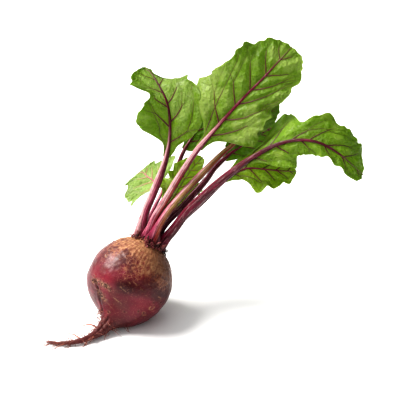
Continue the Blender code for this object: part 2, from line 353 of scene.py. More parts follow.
def piece(name, bm, material, hides=(), values=None, thick=0.0):
    bmesh.ops.scale(bm, vec=(MM, MM, MM), verts=bm.verts)
    bmesh.ops.recalc_face_normals(bm, faces=bm.faces)
    mesh = bpy.data.meshes.new(name)
    bm.to_mesh(mesh)
    bm.free()
    mesh.shade_smooth()
    mesh.materials.append(material)
    for key, numbers in (values or {}).items():
        numbers = np.reshape(numbers, (len(mesh.vertices), -1))
        if key == "tint":
            numbers = np.hstack([numbers, np.ones((len(numbers), 1))])
        kind, field = KINDS[numbers.shape[1]]
        mesh.attributes.new(key, kind, "POINT").data.foreach_set(field, numbers.astype(np.float32).ravel())
    item = show(bpy.data.objects.new(name, mesh))
    if thick:
        sheet = item.modifiers.new("thickness", "SOLIDIFY")
        sheet.thickness = thick * MM
        sheet.offset = 0
    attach(item, "root")
    if hides:
        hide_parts(*hides)


print("a piece keeps", ", ".join(kind for kind, field in KINDS.values()))

# %% [markdown]
# ## Rods
# A stalk, a vein, a rootlet and the root itself are all one closed rod: a cylinder cut into rings, with
# every ring moved to its place on a line and swollen to its radius. `unit_rod` makes the cylinder, and
# `lay_rod` adds a copy of it to a bmesh and bends it.

# %% Rods
def unit_rod(sides, rings):
    bm = bmesh.new()
    bmesh.ops.create_cone(bm, cap_ends=True, segments=sides, radius1=1, radius2=1, depth=1)
    upright = [e for e in bm.edges if abs(e.verts[0].co.z - e.verts[1].co.z) > 0.5]
    bmesh.ops.subdivide_edges(bm, edges=upright, cuts=rings - 2)
    mesh = bpy.data.meshes.new("unit_rod")
    bm.to_mesh(mesh)
    bm.free()
    spots = np.empty(len(mesh.vertices) * 3)
    mesh.vertices.foreach_get("co", spots)
    spots = spots.reshape(-1, 3)
    ring = np.rint((spots[:, 2] + 0.5) * (rings - 1)).astype(int)
    turn = np.arctan2(spots[:, 1], spots[:, 0])
    return mesh, ring, turn


def cross_frame(tangent, hint):
    """Two directions square to the line at each of its points, turning as little as they can."""
    u = unit(np.asarray(hint, float) - tangent[0] * (tangent[0] @ np.asarray(hint, float)))
    rows = []
    for t in tangent:
        u = unit(u - t * (u @ t))
        rows.append(u)
    u = np.array(rows)
    return u, np.cross(tangent, u)


def lay_rod(bm, rod, centre, u, w, radius):
    """Add a rod whose ring i is round centre[i]; radius is one number per ring, or per point of the rod."""
    mesh, ring, turn = rod
    first = len(bm.verts)
    bm.from_mesh(mesh)
    bm.verts.ensure_lookup_table()
    r = radius[ring] if len(radius) == len(centre) else radius
    spots = centre[ring] + (r * np.cos(turn))[:, None] * u[ring] + (r * np.sin(turn))[:, None] * w[ring]
    for v, p in zip(bm.verts[first:], spots):
        v.co = p
    return spots


def bend_rod(bm, rod, centre, hint, radius):
    """Lay a rod along a row of points, with its first side turned towards the hint."""
    u, w = cross_frame(unit(np.gradient(centre, axis=0) + 1e-6), hint)
    lay_rod(bm, rod, centre, u, w, radius)


print("a rod of 6 sides and 5 rings has", len(unit_rod(6, 5)[0].vertices), "points")

# %% [markdown]
# ## The nine leaves
# The lines and widths are those of the plain model, so that every finished leaf lies where its plain one
# is; only a few curls are finer. A leaf is a centre line from the crown to the tip, the radii of its
# stalk, the place where the blade starts, the way the blade faces, its half-widths, and how far each half
# lifts and curls.

# %% Lines and widths of the leaves
FORWARD = [(0, -0.91, 0.42), (0, -0.91, 0.42), (0, -0.86, 0.51)]
LEVEL = [(0, 0, 0, 0, 0), (1, 0, 0, 0, 0)]
LEAVES = {
    "A": dict(
        line=[(9.5, 15, 69.5), (13, 21, 87), (20, 27, 103), (27, 30, 120), (32, 34, 135), (35, 35, 152),
              (35, 39, 170), (32, 43, 183), (26, 52, 192), (20, 63, 198), (13, 76, 201)],
        stalk=(2.4, 3.4, 1.9, 0.5), starts=0.435,
        face=FORWARD + [(-0.1, -0.65, 0.75)],
        width=[(0, 3, 3, 0.2), (0.12, 5, 8, 0.2), (0.2, 15, 19, 0.1), (0.3, 28, 28, 0.05),
               (0.5, 24, 28, 0.1), (0.62, 16, 25, 0), (0.72, 15, 21, 0), (0.84, 17, 17, -0.1),
               (0.93, 12, 11, 0), (1, 5, 5, 0)],
        lift=[(0, 20, 20, 0, 0), (0.3, 0, 10, -10, 0), (0.6, 10, 10, 20, 0), (0.8, 20, -40, 30, -30),
              (1, 20, -50, 40, -20)]),
    "B": dict(
        line=[(13.5, 16.5, 66.5), (16, 24, 79), (21, 31, 89), (26, 38, 97), (28, 45, 101),
              (24, 51, 102), (19, 59, 102), (13, 67, 103), (7, 75, 105)],
        stalk=(1.4, 1.5, 1.0, 0.4), starts=0.59,
        face=[(-0.2, -0.5, 0.84), (-0.2, -0.6, 0.77), (-0.2, -0.5, 0.84)],
        width=[(0, 2, 2, 0), (0.12, 8, 4, 0), (0.3, 26, 17, 0), (0.6, 28, 23, 0), (0.85, 17, 17, 0.2),
               (1, 4, 4, 0)],
        lift=LEVEL),
    "C": dict(
        line=[(15.5, 11, 68), (21, 17, 84), (31, 20, 101), (44, 23, 123), (58, 24, 145), (76, 25, 167),
              (94, 26, 188), (112, 30, 206), (128, 39, 221), (136, 48, 227)],
        stalk=(2.3, 3.0, 2.2, 0.5), starts=0.435,
        face=FORWARD + [(0.1, -0.74, 0.66)],
        width=[(0, 3, 3, 0.35), (0.1, 4, 6, 0.35), (0.13, 12, 12, 0.35), (0.17, 31, 27, 0.3),
               (0.2, 34, 34, 0.3), (0.3, 33, 33, 0.3), (0.48, 29, 33, 0.3), (0.61, 28, 29, 0.3),
               (0.72, 26, 26, 0.3), (0.88, 18, 17, 0.3), (0.95, 12, 11, 0.2), (1, 5, 5, 0)],
        lift=[(0, 12, 10, -50, 0), (0.3, 5, 10, -70, 0), (0.45, 5, 8, -20, 0), (0.6, 5, 6, 0, 0),
              (1, 0, 0, -10, -10)]),
    "D": dict(
        line=[(17.5, 20, 62.5), (22, 26, 77), (29, 29, 87), (37, 33, 98), (46, 38, 111), (54, 43, 121),
              (63, 46, 130)],
        stalk=(1.1, 1.0, 0.9, 0.4), starts=0.36,
        face=FORWARD,
        width=[(0, 3, 7, 0.1), (0.12, 8, 12, 0.1), (0.3, 14, 13, 0), (0.55, 15, 14, 0),
               (0.8, 9, 10, 0.1), (0.93, 5, 6, 0), (1, 3, 3, 0)],
        lift=LEVEL),
    "E": dict(
        line=[(19.5, 7, 67.5), (25, 11, 80), (33, 15, 92), (46, 20, 107), (63, 28, 123), (80, 38, 137),
              (93, 47, 145), (105, 57, 156), (117, 66, 167), (127, 78, 174)],
        stalk=(2.5, 3.1, 1.8, 0.5), starts=0.6,
        face=FORWARD,
        width=[(0, 3, 3, 0.3), (0.15, 9, 5, 0.3), (0.3, 19, 12, 0.3), (0.6, 20, 15, 0.3),
               (0.85, 14, 11, 0.2), (1, 4, 4, 0)],
        lift=[(0, 0, -20, 0, 0), (0.5, 0, -30, 0, 0), (1, 0, -10, 0, 0)]),
    "F": dict(
        line=[(25, 10.5, 63), (37, 12, 76), (49, 12, 93), (66, 12, 111), (83, 10, 128), (99, 6, 143),
              (112, 3, 153), (125, -1, 161), (140, -4, 165), (155, -8, 164), (169, -11, 157),
              (181, -11, 147), (192, -8, 136)],
        stalk=(2.9, 3.8, 2.6, 0.5), starts=0.45,
        face=[(-0.18, -0.61, 0.77), (0, -0.75, 0.67), (0.09, -0.68, 0.73), (0.41, -0.57, 0.72)],
        width=[(0, 3, 3, 0.3), (0.08, 8, 3, 0.3), (0.13, 22, 7, 0.5), (0.19, 31, 17, 0.5),
               (0.26, 32, 22, 0.4), (0.36, 24, 22, 0.2), (0.46, 17, 13, 0.1), (0.54, 22, 10, 0.1),
               (0.62, 26, 9, 0.1), (0.75, 25, 8, 0.1), (0.88, 23, 9, 0.05), (0.95, 15, 10, 0),
               (1, 7, 7, 0)],
        lift=[(0, 0, -10, 0, 0), (0.18, -34, -15, 0, 0), (0.32, -26, -20, 0, 0), (0.5, 0, -28, 0, 0),
              (0.8, 0, -20, 0, 0), (1, 0, 0, 0, 0)]),
    "G": dict(
        line=[(20, 14.5, 64), (31, 20, 79), (43, 23, 91), (55, 28, 103), (66, 34, 114), (74, 40, 123),
              (88, 51, 132), (102, 63, 137), (117, 77, 141), (130, 90, 143)],
        stalk=(2.1, 2.8, 1.6, 0.5), starts=0.58,
        face=FORWARD,
        width=[(0, 3, 3, 0.3), (0.15, 9, 9, 0.3), (0.3, 15, 15, 0.2), (0.6, 17, 17, 0.2),
               (0.85, 14, 14, 0.2), (1, 4, 4, 0)],
        lift=LEVEL),
    "H": dict(
        line=[(23.5, 17.5, 60.5), (36, 18, 73), (48, 18, 86), (63, 18, 101), (77, 18, 116),
              (88, 18, 126), (100, 16, 132), (114, 14, 132), (128, 13, 131), (141, 16, 129)],
        stalk=(2.0, 2.3, 1.3, 0.4), starts=0.56,
        face=[(0, -0.75, 0.67), (0, -0.75, 0.67), (0, -0.81, 0.59), (0.1, -0.8, 0.59)],
        width=[(0, 2, 2, 0.1), (0.12, 5, 5, 0.1), (0.28, 12, 9, 0), (0.4, 14, 15, 0), (0.5, 14, 20, 0),
               (0.68, 12, 15, 0), (0.85, 7, 9, 0.1), (0.95, 3, 5, 0.1), (1, 2, 2, 0)],
        lift=[(0, 10, -10, 0, 0), (0.3, -10, 0, 0, 0), (0.6, -20, 0, 0, 0), (0.8, 0, 0, 0, 0),
              (1, 0, 0, 0, 0)]),
    "I": dict(
        line=[(12.5, 21.5, 65), (20, 30, 80), (32, 42, 97), (39, 53, 112), (45, 62, 126), (52, 70, 136),
              (59, 78, 145), (66, 89, 154), (71, 102, 162)],
        stalk=(1.7, 2.2, 1.5, 0.4), starts=0.6,
        face=FORWARD,
        width=[(0, 3, 3, 0.3), (0.15, 4, 9, 0.3), (0.3, 6, 15, 0.3), (0.6, 10, 17, 0.3),
               (0.85, 10, 12, 0.2), (1, 3, 3, 0)],
        lift=LEVEL),
}
longest = max(Line(leaf["line"]).length for leaf in LEAVES.values())
print(len(LEAVES), "leaves, longest line", round(longest), "mm")

# %% [markdown]
# Each leaf also has its own character: which greens it is made of, how deep the puckers between its veins
# are, how much its edge waves, and how far apart its side veins stand. Colours are written as screen
# values from 0 to 255, the way a colour picker gives them, and `linear` turns them into the light values
# that a renderer works with.

# %% Colours and characters
def linear(r, g, b):
    c = np.array([r, g, b]) / 255
    return tuple(np.where(c <= 0.04045, c / 12.92, ((c + 0.055) / 1.055) ** 2.4))


BLUSH, PINK, ROSE = linear(230, 182, 184), linear(198, 100, 128), linear(150, 30, 78)
WINE, PLUM, NIGHT = linear(106, 12, 42), linear(66, 8, 24), linear(40, 6, 12)
STRAW, OLIVE, RUST = linear(196, 164, 104), linear(134, 120, 56), linear(156, 66, 42)
MAGENTA, SAGE = linear(132, 12, 62), linear(120, 152, 62)

LETTER_COLOURS = {"B": BLUSH, "K": PINK, "R": ROSE, "W": WINE, "P": PLUM, "N": NIGHT, "S": STRAW, "O": OLIVE,
            "U": RUST, "M": MAGENTA, "G": SAGE}

# deep, middle and pale green, pucker height, edge wave (mm and its length), tooth depth, vein spacing and
# angle, vein colour near the midrib and near the edge
CHARACTER = {
    "A": dict(greens=((100, 124, 0), (128, 162, 2), (162, 184, 94)), pucker=1.6, wave=(3.0, 26), tooth=1.1,
              veins=(19, 50), vein=((92, 30, 32), (104, 100, 24))),
    "B": dict(greens=((146, 176, 92), (176, 202, 128), (206, 222, 172)), pucker=1.8, wave=(3.0, 13),
              tooth=2.2, veins=(11, 50), vein=((176, 128, 104), (160, 172, 100))),
    "C": dict(greens=((94, 118, 0), (120, 154, 2), (170, 188, 96)), pucker=2.1, wave=(2.8, 30), tooth=1.2,
              veins=(20, 50), vein=((96, 36, 36), (104, 100, 24))),
    # D: paler, brighter greens, partly a young leaf's colour and partly painted light that lifts a leaf
    # standing in shade
    "D": dict(greens=((124, 148, 16), (160, 186, 40), (200, 216, 122)), pucker=2.4, wave=(4.6, 7), tooth=3.4,
              veins=(9, 52), vein=((150, 128, 60), (140, 164, 60))),
    # E lies behind leaf C: its darker greens are partly its own deeper tone and partly painted shade
    "E": dict(greens=((70, 96, 6), (98, 136, 8), (140, 168, 60)), pucker=1.4, wave=(2.4, 22), tooth=1.0,
              veins=(13, 50), vein=((112, 40, 44), (112, 104, 28))),
    "F": dict(greens=((100, 126, 0), (128, 164, 2), (162, 184, 70)), pucker=1.8, wave=(2.8, 24), tooth=1.1,
              veins=(20, 48), vein=((88, 28, 30), (96, 92, 20))),
    # G lies behind leaf C: its darker greens are partly its own deeper tone and partly painted shade
    "G": dict(greens=((64, 90, 6), (92, 128, 10), (130, 158, 56)), pucker=1.4, wave=(2.4, 20), tooth=1.0,
              veins=(13, 50), vein=((112, 40, 44), (112, 104, 28))),
    "H": dict(greens=((122, 140, 2), (152, 178, 6), (178, 200, 72)), pucker=1.6, wave=(2.2, 20), tooth=1.2,
              veins=(15, 50), vein=((98, 36, 30), (104, 104, 22))),
    # I lies behind leaves A and C: its darkest greens are partly its own deeper tone and partly painted shade
    "I": dict(greens=((54, 76, 6), (80, 108, 10), (118, 140, 50)), pucker=1.3, wave=(2.2, 18), tooth=1.0,
              veins=(12, 50), vein=((112, 40, 44), (112, 104, 28))),
}
print("wine is", tuple(round(float(c), 3) for c in WINE))

# %% [markdown]
# ## The surface of a blade
# A blade could be sculpted, but nine of them should come from one rule. Any spot of it is named by s,
# from 0 where the blade starts to 1 at its tip, and v, from -1 at its left edge to 1 at its right edge.
# The class below says where that spot is: first on the smooth sheet of the plain model, then with the
# scalloped edge and its waves.

# %% Bumps of the outlines
# side (-1 left, 1 right), place along the blade, mm outwards, and how far the bump spreads
BUMPS = {
    "A": [(-1, 0.94, -6, 0.05), (-1, 0.83, 4, 0.05), (-1, 0.74, 9, 0.05), (-1, 0.615, -6, 0.045),
          (-1, 0.50, -2, 0.05), (-1, 0.21, 6, 0.05), (1, 0.985, 6, 0.02), (1, 0.865, -17, 0.075),
          (1, 0.73, 4, 0.04), (1, 0.68, 2, 0.05), (1, 0.60, -2, 0.03)],
    "B": [(-1, 0.27, 7, 0.10), (-1, 0.50, -2, 0.04), (-1, 0.70, 3, 0.05), (-1, 0.93, 9, 0.06),
          (1, 0.40, 8, 0.09), (1, 0.58, -3, 0.05), (1, 0.74, -5, 0.06), (1, 0.97, 6, 0.04)],
    "C": [(-1, 0.40, 3, 0.045), (-1, 0.24, 8, 0.055), (-1, 0.325, 5, 0.04), (-1, 0.16, 3, 0.03),
          (-1, 0.50, 2.5, 0.05), (-1, 0.60, 3, 0.05), (-1, 0.70, 3, 0.05), (-1, 0.87, 1, 0.04),
          (1, 0.70, -3, 0.05), (1, 0.60, -4, 0.05), (1, 0.51, -9, 0.05), (1, 0.41, -6, 0.05),
          (1, 0.32, -4, 0.04), (1, 0.79, 1, 0.03)],
    "D": [(-1, 0.30, 2, 0.05), (-1, 0.45, -2, 0.03), (-1, 0.62, 3, 0.05), (1, 0.55, 2, 0.04),
          (1, 0.72, 4, 0.06)],
    "F": [(-1, 0.10, -14, 0.07), (-1, 0.185, -16, 0.05), (-1, 0.30, 1, 0.04), (-1, 0.39, 6, 0.05),
          (-1, 0.485, -2, 0.03), (-1, 0.59, 4, 0.03), (-1, 0.66, -1, 0.03), (-1, 0.93, 4, 0.05),
          (1, 0.39, 2, 0.03), (1, 0.45, -2, 0.03), (1, 0.655, 1.5, 0.02), (1, 0.70, -1.5, 0.03),
          (1, 0.76, 1.5, 0.03)],
    "H": [(1, 0.53, 2, 0.05), (1, 0.62, -1.5, 0.04), (1, 0.70, 2, 0.04), (1, 0.88, 2, 0.04),
          (1, 0.80, -1.5, 0.03), (-1, 0.90, 2, 0.04)],
    "I": [(1, 0.10, 6, 0.10), (-1, 0.30, 5, 0.15)],
}
print(sum(len(rows) for rows in BUMPS.values()), "bumps")

# %% A blade as a rule
TIP_ROUND = 0.05      # share of the blade over which its tip rounds off
BLADE_END = 0.985     # the grid stops just short of the tip
CALM = 14             # waves fade out this near the midrib, mm
EDGE_WAVES = [(10, 0.6), (5.2, 0.8), (2.6, 0.6)]      # scallops and teeth of the edge: length and depth, mm


def stalk_radius(leaf, s):
    """Radius of stalk and midrib at s: base, swelling, start of the blade, tip."""
    base, full, start, tip = leaf["stalk"]
    starts = leaf["starts"]
    places = [0, 0.08, starts * 0.7, starts + 0.05, starts + (1 - starts) * 0.5, 1]
    return np.interp(s, places, [base, full, full * 0.95, start, start * 0.5 + tip * 0.3, tip])


def square_to(tangent, face):
    """The part of a facing direction that is square to a line."""
    return unit(face - (face * tangent).sum(1)[:, None] * tangent)


class Blade:
    def __init__(self, key):
        self.key = key
        self.leaf = LEAVES[key]
        self.look = CHARACTER[key]
        self.seed = ord(key)
        self.line = Line(self.leaf["line"])
        self.length = self.line.length * (1 - self.leaf["starts"])
        self.grid = np.linspace(0, 1, 241)
        self.left, self.right, self.sweep = stations(self.leaf["width"], self.grid, 0.03)

    def half_width(self, s, right):
        left_w, right_w = (np.interp(s, self.grid, row) for row in (self.left, self.right))
        return np.where(right, right_w, left_w) * np.sqrt(np.clip((1 - s) / TIP_ROUND, 0, 1))

    def flat(self, s, v):
        """The blade laid flat, mm: across from the midrib, and along it."""
        across = self.half_width(s, v > 0) * v
        return across, s * self.length + np.abs(across) * np.interp(s, self.grid, self.sweep)

    def frame(self, s):
        """The midrib at s: its place, its direction, the way the blade faces, the stalk's radius."""
        t = self.leaf["starts"] + (1 - self.leaf["starts"]) * s
        tangent = self.line.along(t)
        faces = square_to(tangent, smooth(self.leaf["face"], s))
        return self.line.at(t), tangent, faces, stalk_radius(self.leaf, t)

    def halves(self, x, seed, right):
        """One wave for the left half and another for the right; forks on the right have a third."""
        seed += self.seed + 40 * int(right.all())
        return np.where(right, wave(x, seed + 91), wave(x, seed + 5))

    def reach(self, s, v, across):
        """Distance from the midrib, mm, with the teeth and the bumps of the edge."""
        right, edge = v > 0, np.abs(v)
        teeth = sum(deep * self.halves(s * self.length / long, int(long), right) for long, deep in EDGE_WAVES)
        teeth *= self.look["tooth"] * edge**5 * np.clip(np.abs(across) / CALM, 0, 1) * ease(1 - s, 0, 0.06)
        reach = np.abs(across) + teeth
        for half, where, more, spread in BUMPS.get(self.key, ()):
            reach += more * edge**1.5 * bell(s - where, spread) * (right == (half > 0))
        return np.maximum(reach, 0.15 * np.abs(across))

    def ripple(self, s, v, across, along):
        """Height over the smooth sheet, mm: long and short waves of the edge, and soft dents."""
        right, edge = v > 0, np.abs(v)
        amount, length = self.look["wave"]
        high = amount * edge**2.4 * self.halves(s * self.length / length * 2 + 3, 17, right)
        high += 1.1 * edge**4 * self.halves(s * self.length / 4.5, 27, right)
        high += 1.5 * dapple(across / 17, along / 17, self.seed)
        return high * np.clip(np.abs(across) / CALM, 0, 1)

    def place(self, s, v, rise=0.0):
        """Points of the blade in space; rise lifts them off the sheet, in mm."""
        s, v = np.asarray(s, float), np.asarray(v, float)
        p, tangent, n, stalk = self.frame(s)
        right = v > 0
        lift_l, lift_r, curl_l, curl_r = (np.radians(row) for row in stations(self.leaf["lift"], s, 0.1))
        angle = np.where(right, lift_r, lift_l) + np.where(right, curl_r, curl_l) * np.abs(v) / 2
        across, along = self.flat(s, v)
        reach = self.reach(s, v, across)
        out = p - (0.25 * stalk)[:, None] * n
        out += (reach * np.cos(angle) * np.where(right, 1, -1))[:, None] * np.cross(tangent, n)
        out += (reach * np.sin(angle) + self.ripple(s, v, across, along) + rise)[:, None] * n
        return out + (reach * np.interp(s, self.grid, self.sweep))[:, None] * tangent


print("blade C is", round(Blade("C").length), "mm long")

# %% [markdown]
# ## Side veins
# A vein leaves the midrib at about half a right angle, bends a little towards the tip and forks before
# the edge. It is grown a millimetre at a time on the flattened blade, the way a plotter would draw it,
# and only then placed in space. The blade is puckered between the veins, so the veins have to be known
# before the blade is made.

# %% Grow the veins of one blade
def grow(blade, rng, across, along, heading, side, out, depth):
    """Walk from one spot towards the edge, and fork on the way."""
    path = []
    fork_at = rng.uniform(0.32, 0.66) if depth == 0 else rng.uniform(0.6, 1.4)
    for step in range(120):
        sweep = np.interp(along / blade.length, blade.grid, blade.sweep)
        s = (along - across * sweep) / blade.length
        width = float(blade.half_width(s, side > 0)) + 0.01
        v = across / width
        if not 0 <= v < 0.95 or not 0.01 < s < 0.975:
            break
        path.append((s, side * v))
        if v > fork_at and depth < 2:
            for bend in (-0.40, 0.34):
                grow(blade, rng, across, along, heading + bend * rng.uniform(0.7, 1.3), side, out, depth + 1)
            break
        heading -= 0.006 if depth == 0 else 0.012
        heading = max(heading + 0.05 * rng.uniform(-1, 1), 0.3)
        across += np.sin(heading)
        along += np.cos(heading)
    if len(path) > 4:
        out.append((np.array(path), depth))


def vein_paths(blade):
    spacing, angle = blade.look["veins"]
    rng = np.random.default_rng(blade.seed)
    out = []
    for side in (-1, 1):
        start = blade.length * 0.05 + (spacing * 0.45 if side > 0 else 0)
        while start < blade.length * 0.93:
            tilt = np.radians(angle + rng.uniform(-7, 7)) - 0.15 * start / blade.length
            grow(blade, rng, 0.0, start, tilt, side, out, 0)
            start += spacing * rng.uniform(0.8, 1.2) * (1 - 0.3 * start / blade.length)
    return out


print("blade C has", len(vein_paths(Blade("C"))), "vein branches")

# %% [markdown]
# ## The leaf material
# A leaf is thin, so light that falls on its back shines through as a warmer, yellower green. That is a
# Translucent shader mixed with the usual glossy one. The mesh brings three things: the green of each
# spot, how near a vein is, and the flattened position in centimetres, on which the fine net of the
# smallest veins is drawn.

# %% Leaf material
THROUGH = 0.46      # share of the light that shines through


def leaf_paint(name, glow):
    paint = Paint(name)
    flat = paint.value("flat", "Vector")
    bent = paint.shift(flat, paint.noise(flat, 3.0, 2.0, output="Color"), 0.16)
    net, fine = paint.cells(bent, 3.4), paint.cells(bent, 9.0)
    patch = paint.noise(flat, 0.9, 4.0, 0.55)
    grain = paint.noise(flat, 16.0, 4.0, 0.65)
    colour = paint.layers(
        paint.value("tint", "Color"),
        (patch.above(0.45, 0.3) * 0.22, (0.07, 0.17, 0.002)),
        ((1 - net.ramp(0.0, 0.09)) * 0.42, (0.42, 0.48, 0.10)),
        ((1 - fine.ramp(0.0, 0.10)) * 0.16, (0.05, 0.11, 0.004)),
        (paint.value("vein") * 0.35, (0.08, 0.10, 0.006)),
        (grain.above(0.5, 0.2) * 0.22, (0.04, 0.09, 0.002)),
        (grain.below(0.47, 0.2) * 0.28, (0.42, 0.50, 0.13)))
    height = net.ramp(0.0, 0.5) * 0.8 + fine.ramp(0.0, 0.4) * 0.3 + grain * 0.35
    made = paint.finish(Base_Color=colour, Roughness=0.28 + patch * 0.14 + grain * 0.10,
                        Normal=paint.bump(height, 0.0012, 0.9), Specular_IOR_Level=0.5, Coat_Weight=0.24,
                        Coat_Roughness=0.24)
    glossy = Wire(paint, paint.tree.nodes["Principled BSDF"].outputs[0])
    through = paint.node("ShaderNodeBsdfTranslucent", {}, {"Color": glow})
    both = paint.node("ShaderNodeMixShader", {}, {0: THROUGH, 1: glossy, 2: through})
    paint.set(paint.tree.nodes["Material Output"].inputs["Surface"], both)
    return made


LEAF_PAINT = leaf_paint("leaf_green", (0.34, 0.54, 0.003))
# D's brighter through-light is partly a young leaf's thin tissue and partly painted light for a leaf standing
# in shade
LEAF_PAINTS = {"D": leaf_paint("leaf_young_green_painted_lit", (0.52, 0.74, 0.05)),
               "B": leaf_paint("leaf_pale_green", (0.56, 0.68, 0.26))}
print("leaf materials:", 1 + len(LEAF_PAINTS))

# %% [markdown]
# ## Making a blade
# The blade starts as a flat grid. Each point of it is placed by the rule, raised where it is far from a
# vein, and given its green. A Solidify modifier makes the sheet half a millimetre thick.

# %% Painted sheen spots
# side and place, size in mm and strength: painted sheen, where a blade's gloss would catch the light it is
# painted paler
PAINTED_SHEEN = {
    "A": [(0.45, 0.52, 16, 0.75), (0.35, 0.65, 14, 0.7), (0.5, 0.9, 10, 0.4), (-0.5, 0.80, 12, 0.85),
          (0.4, 0.35, 9, 0.4), (-0.9, 0.40, 6, 0.4)],
    "C": [(-0.72, 0.27, 13, 1.2), (-0.9, 0.16, 12, 1.1), (-0.6, 0.60, 7, 0.5), (-0.5, 0.86, 10, 0.75),
          (0.5, 0.86, 13, 0.9), (0.7, 0.34, 13, 0.6), (0.55, 0.22, 11, 0.4), (-0.35, 0.36, 8, 0.35),
          (0.85, 0.60, 8, 0.4), (-0.8, 0.43, 6, 0.5)],
    "D": [(-0.7, 0.40, 7, 0.9), (-0.6, 0.65, 6, 0.9), (0.6, 0.90, 7, 0.9), (-0.8, 0.15, 6, 0.6)],
    "F": [(-0.75, 0.34, 9, 0.5), (-0.4, 0.70, 9, 0.35), (0.4, 0.28, 9, 0.5), (-0.85, 0.62, 8, 0.4),
          (0.5, 0.60, 7, 0.3)],
    "H": [(-0.5, 0.65, 8, 0.5), (0.7, 0.90, 6, 0.6), (0.5, 0.40, 7, 0.35)],
}
print(sum(len(rows) for rows in PAINTED_SHEEN.values()), "pale spots")

# %% Build the blades
BLADE_THICK = 0.5
GRIDS = {"A": (128, 170), "B": (100, 120), "C": (140, 190), "D": (84, 120), "E": (90, 120), "F": (130, 200),
         "G": (80, 110), "H": (100, 130), "I": (80, 110)}      # points across and along
# height of the fine dents as a share, their size, seed, and how far from a vein they are in full, mm
DENTS = [(0.70, 3.8, 0, 2.5), (0.30, 1.7, 8, 1.5)]


def blade_tint(blade, v, across, along, near):
    """From deep green by the veins to pale green between them, in the painted sheen spots and at the rim."""
    deep, middle, pale = (np.array(linear(*c)) for c in blade.look["greens"])
    broad, small = dapple(across / 16, along / 16, blade.seed + 3), dapple(across / 4, along / 4, 9)
    mood = np.clip(0.22 * (1 + broad + small) + 0.25 * (1 - bell(near, 3.0)), 0, 1)
    # painted sheen: each spot turns the green paler where gloss would catch the light
    for half, where, size, strength in PAINTED_SHEEN.get(blade.key, ()):
        spot = blade.flat(np.array([where]), np.array([half]))
        away = np.hypot(across - spot[0], (along - spot[1]) * 0.8)
        mood += strength * bell(away, size) * (0.75 + 0.5 * dapple(across / 5, along / 5, 31))
    mood = np.clip(mood, 0, 1)[:, None]
    tint = np.where(mood < 0.5, blend(deep, middle, mood * 2), blend(middle, pale, mood * 2 - 1))
    return blend(tint, pale, np.clip((np.abs(v) - 0.965) / 0.035, 0, 1)[:, None] * 0.5)


def build_blade(key):
    blade = Blade(key)
    veins = vein_paths(blade)
    across_n, along_n = GRIDS[key]
    bm = bmesh.new()
    bmesh.ops.create_grid(bm, x_segments=across_n, y_segments=along_n, size=1)
    grid = np.array([v.co for v in bm.verts])
    s, v = (grid[:, 1] + 1) / 2 * BLADE_END, grid[:, 0].round(5)
    across, along = blade.flat(s, v)
    marks = np.vstack([np.stack(blade.flat(path[:, 0], path[:, 1]), 1) for path, depth in veins])
    near = np.minimum(nearest(np.stack([across, along], 1), marks), np.abs(across) * 1.2)
    rise = blade.look["pucker"] * (1 - bell(near, 4.2)) * (1 - 0.6 * np.abs(v) ** 6)
    for high, size, seed, clear in DENTS:
        rise += high * dapple(across / size, along / size, blade.seed + seed) * (1 - bell(near, clear))
    rise *= np.clip(np.abs(across) / 5, 0, 1)
    for vert, spot in zip(bm.verts, blade.place(s, v, rise)):
        vert.co = spot
    values = {"tint": blade_tint(blade, v, across, along, near), "vein": bell(near, 0.9),
              "flat": np.stack([across / 10, along / 10, np.full(len(s), blade.seed)], 1)}
    paint = LEAF_PAINTS.get(key, LEAF_PAINT)
    piece("blade_" + key, bm, paint, ["leaf_%s_blade" % key], values, BLADE_THICK)
    return blade, veins


BLADES = {key: build_blade(key) for key in LEAVES}
print({key: len(veins) for key, (blade, veins) in BLADES.items()}, "vein branches")

# %% [markdown]
# The veins themselves are thin rods that lie half sunk in the blade. They are wine red near the midrib
# and turn green towards the edge. All veins of a leaf are one piece.

# %% Build the veins
VEIN_RINGS = 22
VEIN_ROD = unit_rod(6, VEIN_RINGS)
VEIN_THICK = (0.60, 0.36, 0.27)      # radius of a side vein, its forks and theirs, mm
paint = Paint("vein_red")
patch = paint.noise(paint.place(), 260.0, 3.0, 0.6)
colour = paint.layers(paint.value("tint", "Color"), ((patch - 0.4) * 0.7, (0.06, 0.02, 0.008)))
VEIN_PAINT = paint.finish(Base_Color=colour, Roughness=0.42, Normal=paint.bump(patch, 0.0002, 0.4))


def build_veins(key):
    blade, veins = BLADES[key]
    bm = bmesh.new()
    near, far = (np.array(linear(*c)) for c in blade.look["vein"])
    tints = []
    for path, depth in veins:
        step = np.linspace(0, 1, VEIN_RINGS) * (len(path) - 1)
        s, v = (np.interp(step, np.arange(len(path)), path[:, k]) for k in (0, 1))
        thick = VEIN_THICK[depth] * (1 - 0.62 * np.abs(v)) * (1.3 - 0.6 * s[0])
        bend_rod(bm, VEIN_ROD, blade.place(s, v, 0.10), blade.frame(s)[2][0], thick)
        tints.append(blend(near, far, ease(np.abs(v)[VEIN_ROD[1]], 0.1, 0.8)[:, None]))
    piece("veins_" + key, bm, VEIN_PAINT, (), {"tint": np.vstack(tints)})


for key in BLADES:
    build_veins(key)
print("veins are in place")

# %% [markdown]
# ## Stalks
# A beet stalk is not round. It has a shallow channel on the side that faces the leaf's upper surface,
# fine ribs along its back, and a flared foot that clasps the crown. Its colours run in stripes along it:
# blush, rose, wine and straw. Each leaf spells its stripes with the letters of these colours, from the
# left edge over the face to the right edge: at the foot, in the middle and where the blade starts. The
# stripes are the stalk's own, but the pale left edges, towards the key light, are also a painted
# highlight, and the dark right edges painted shade.

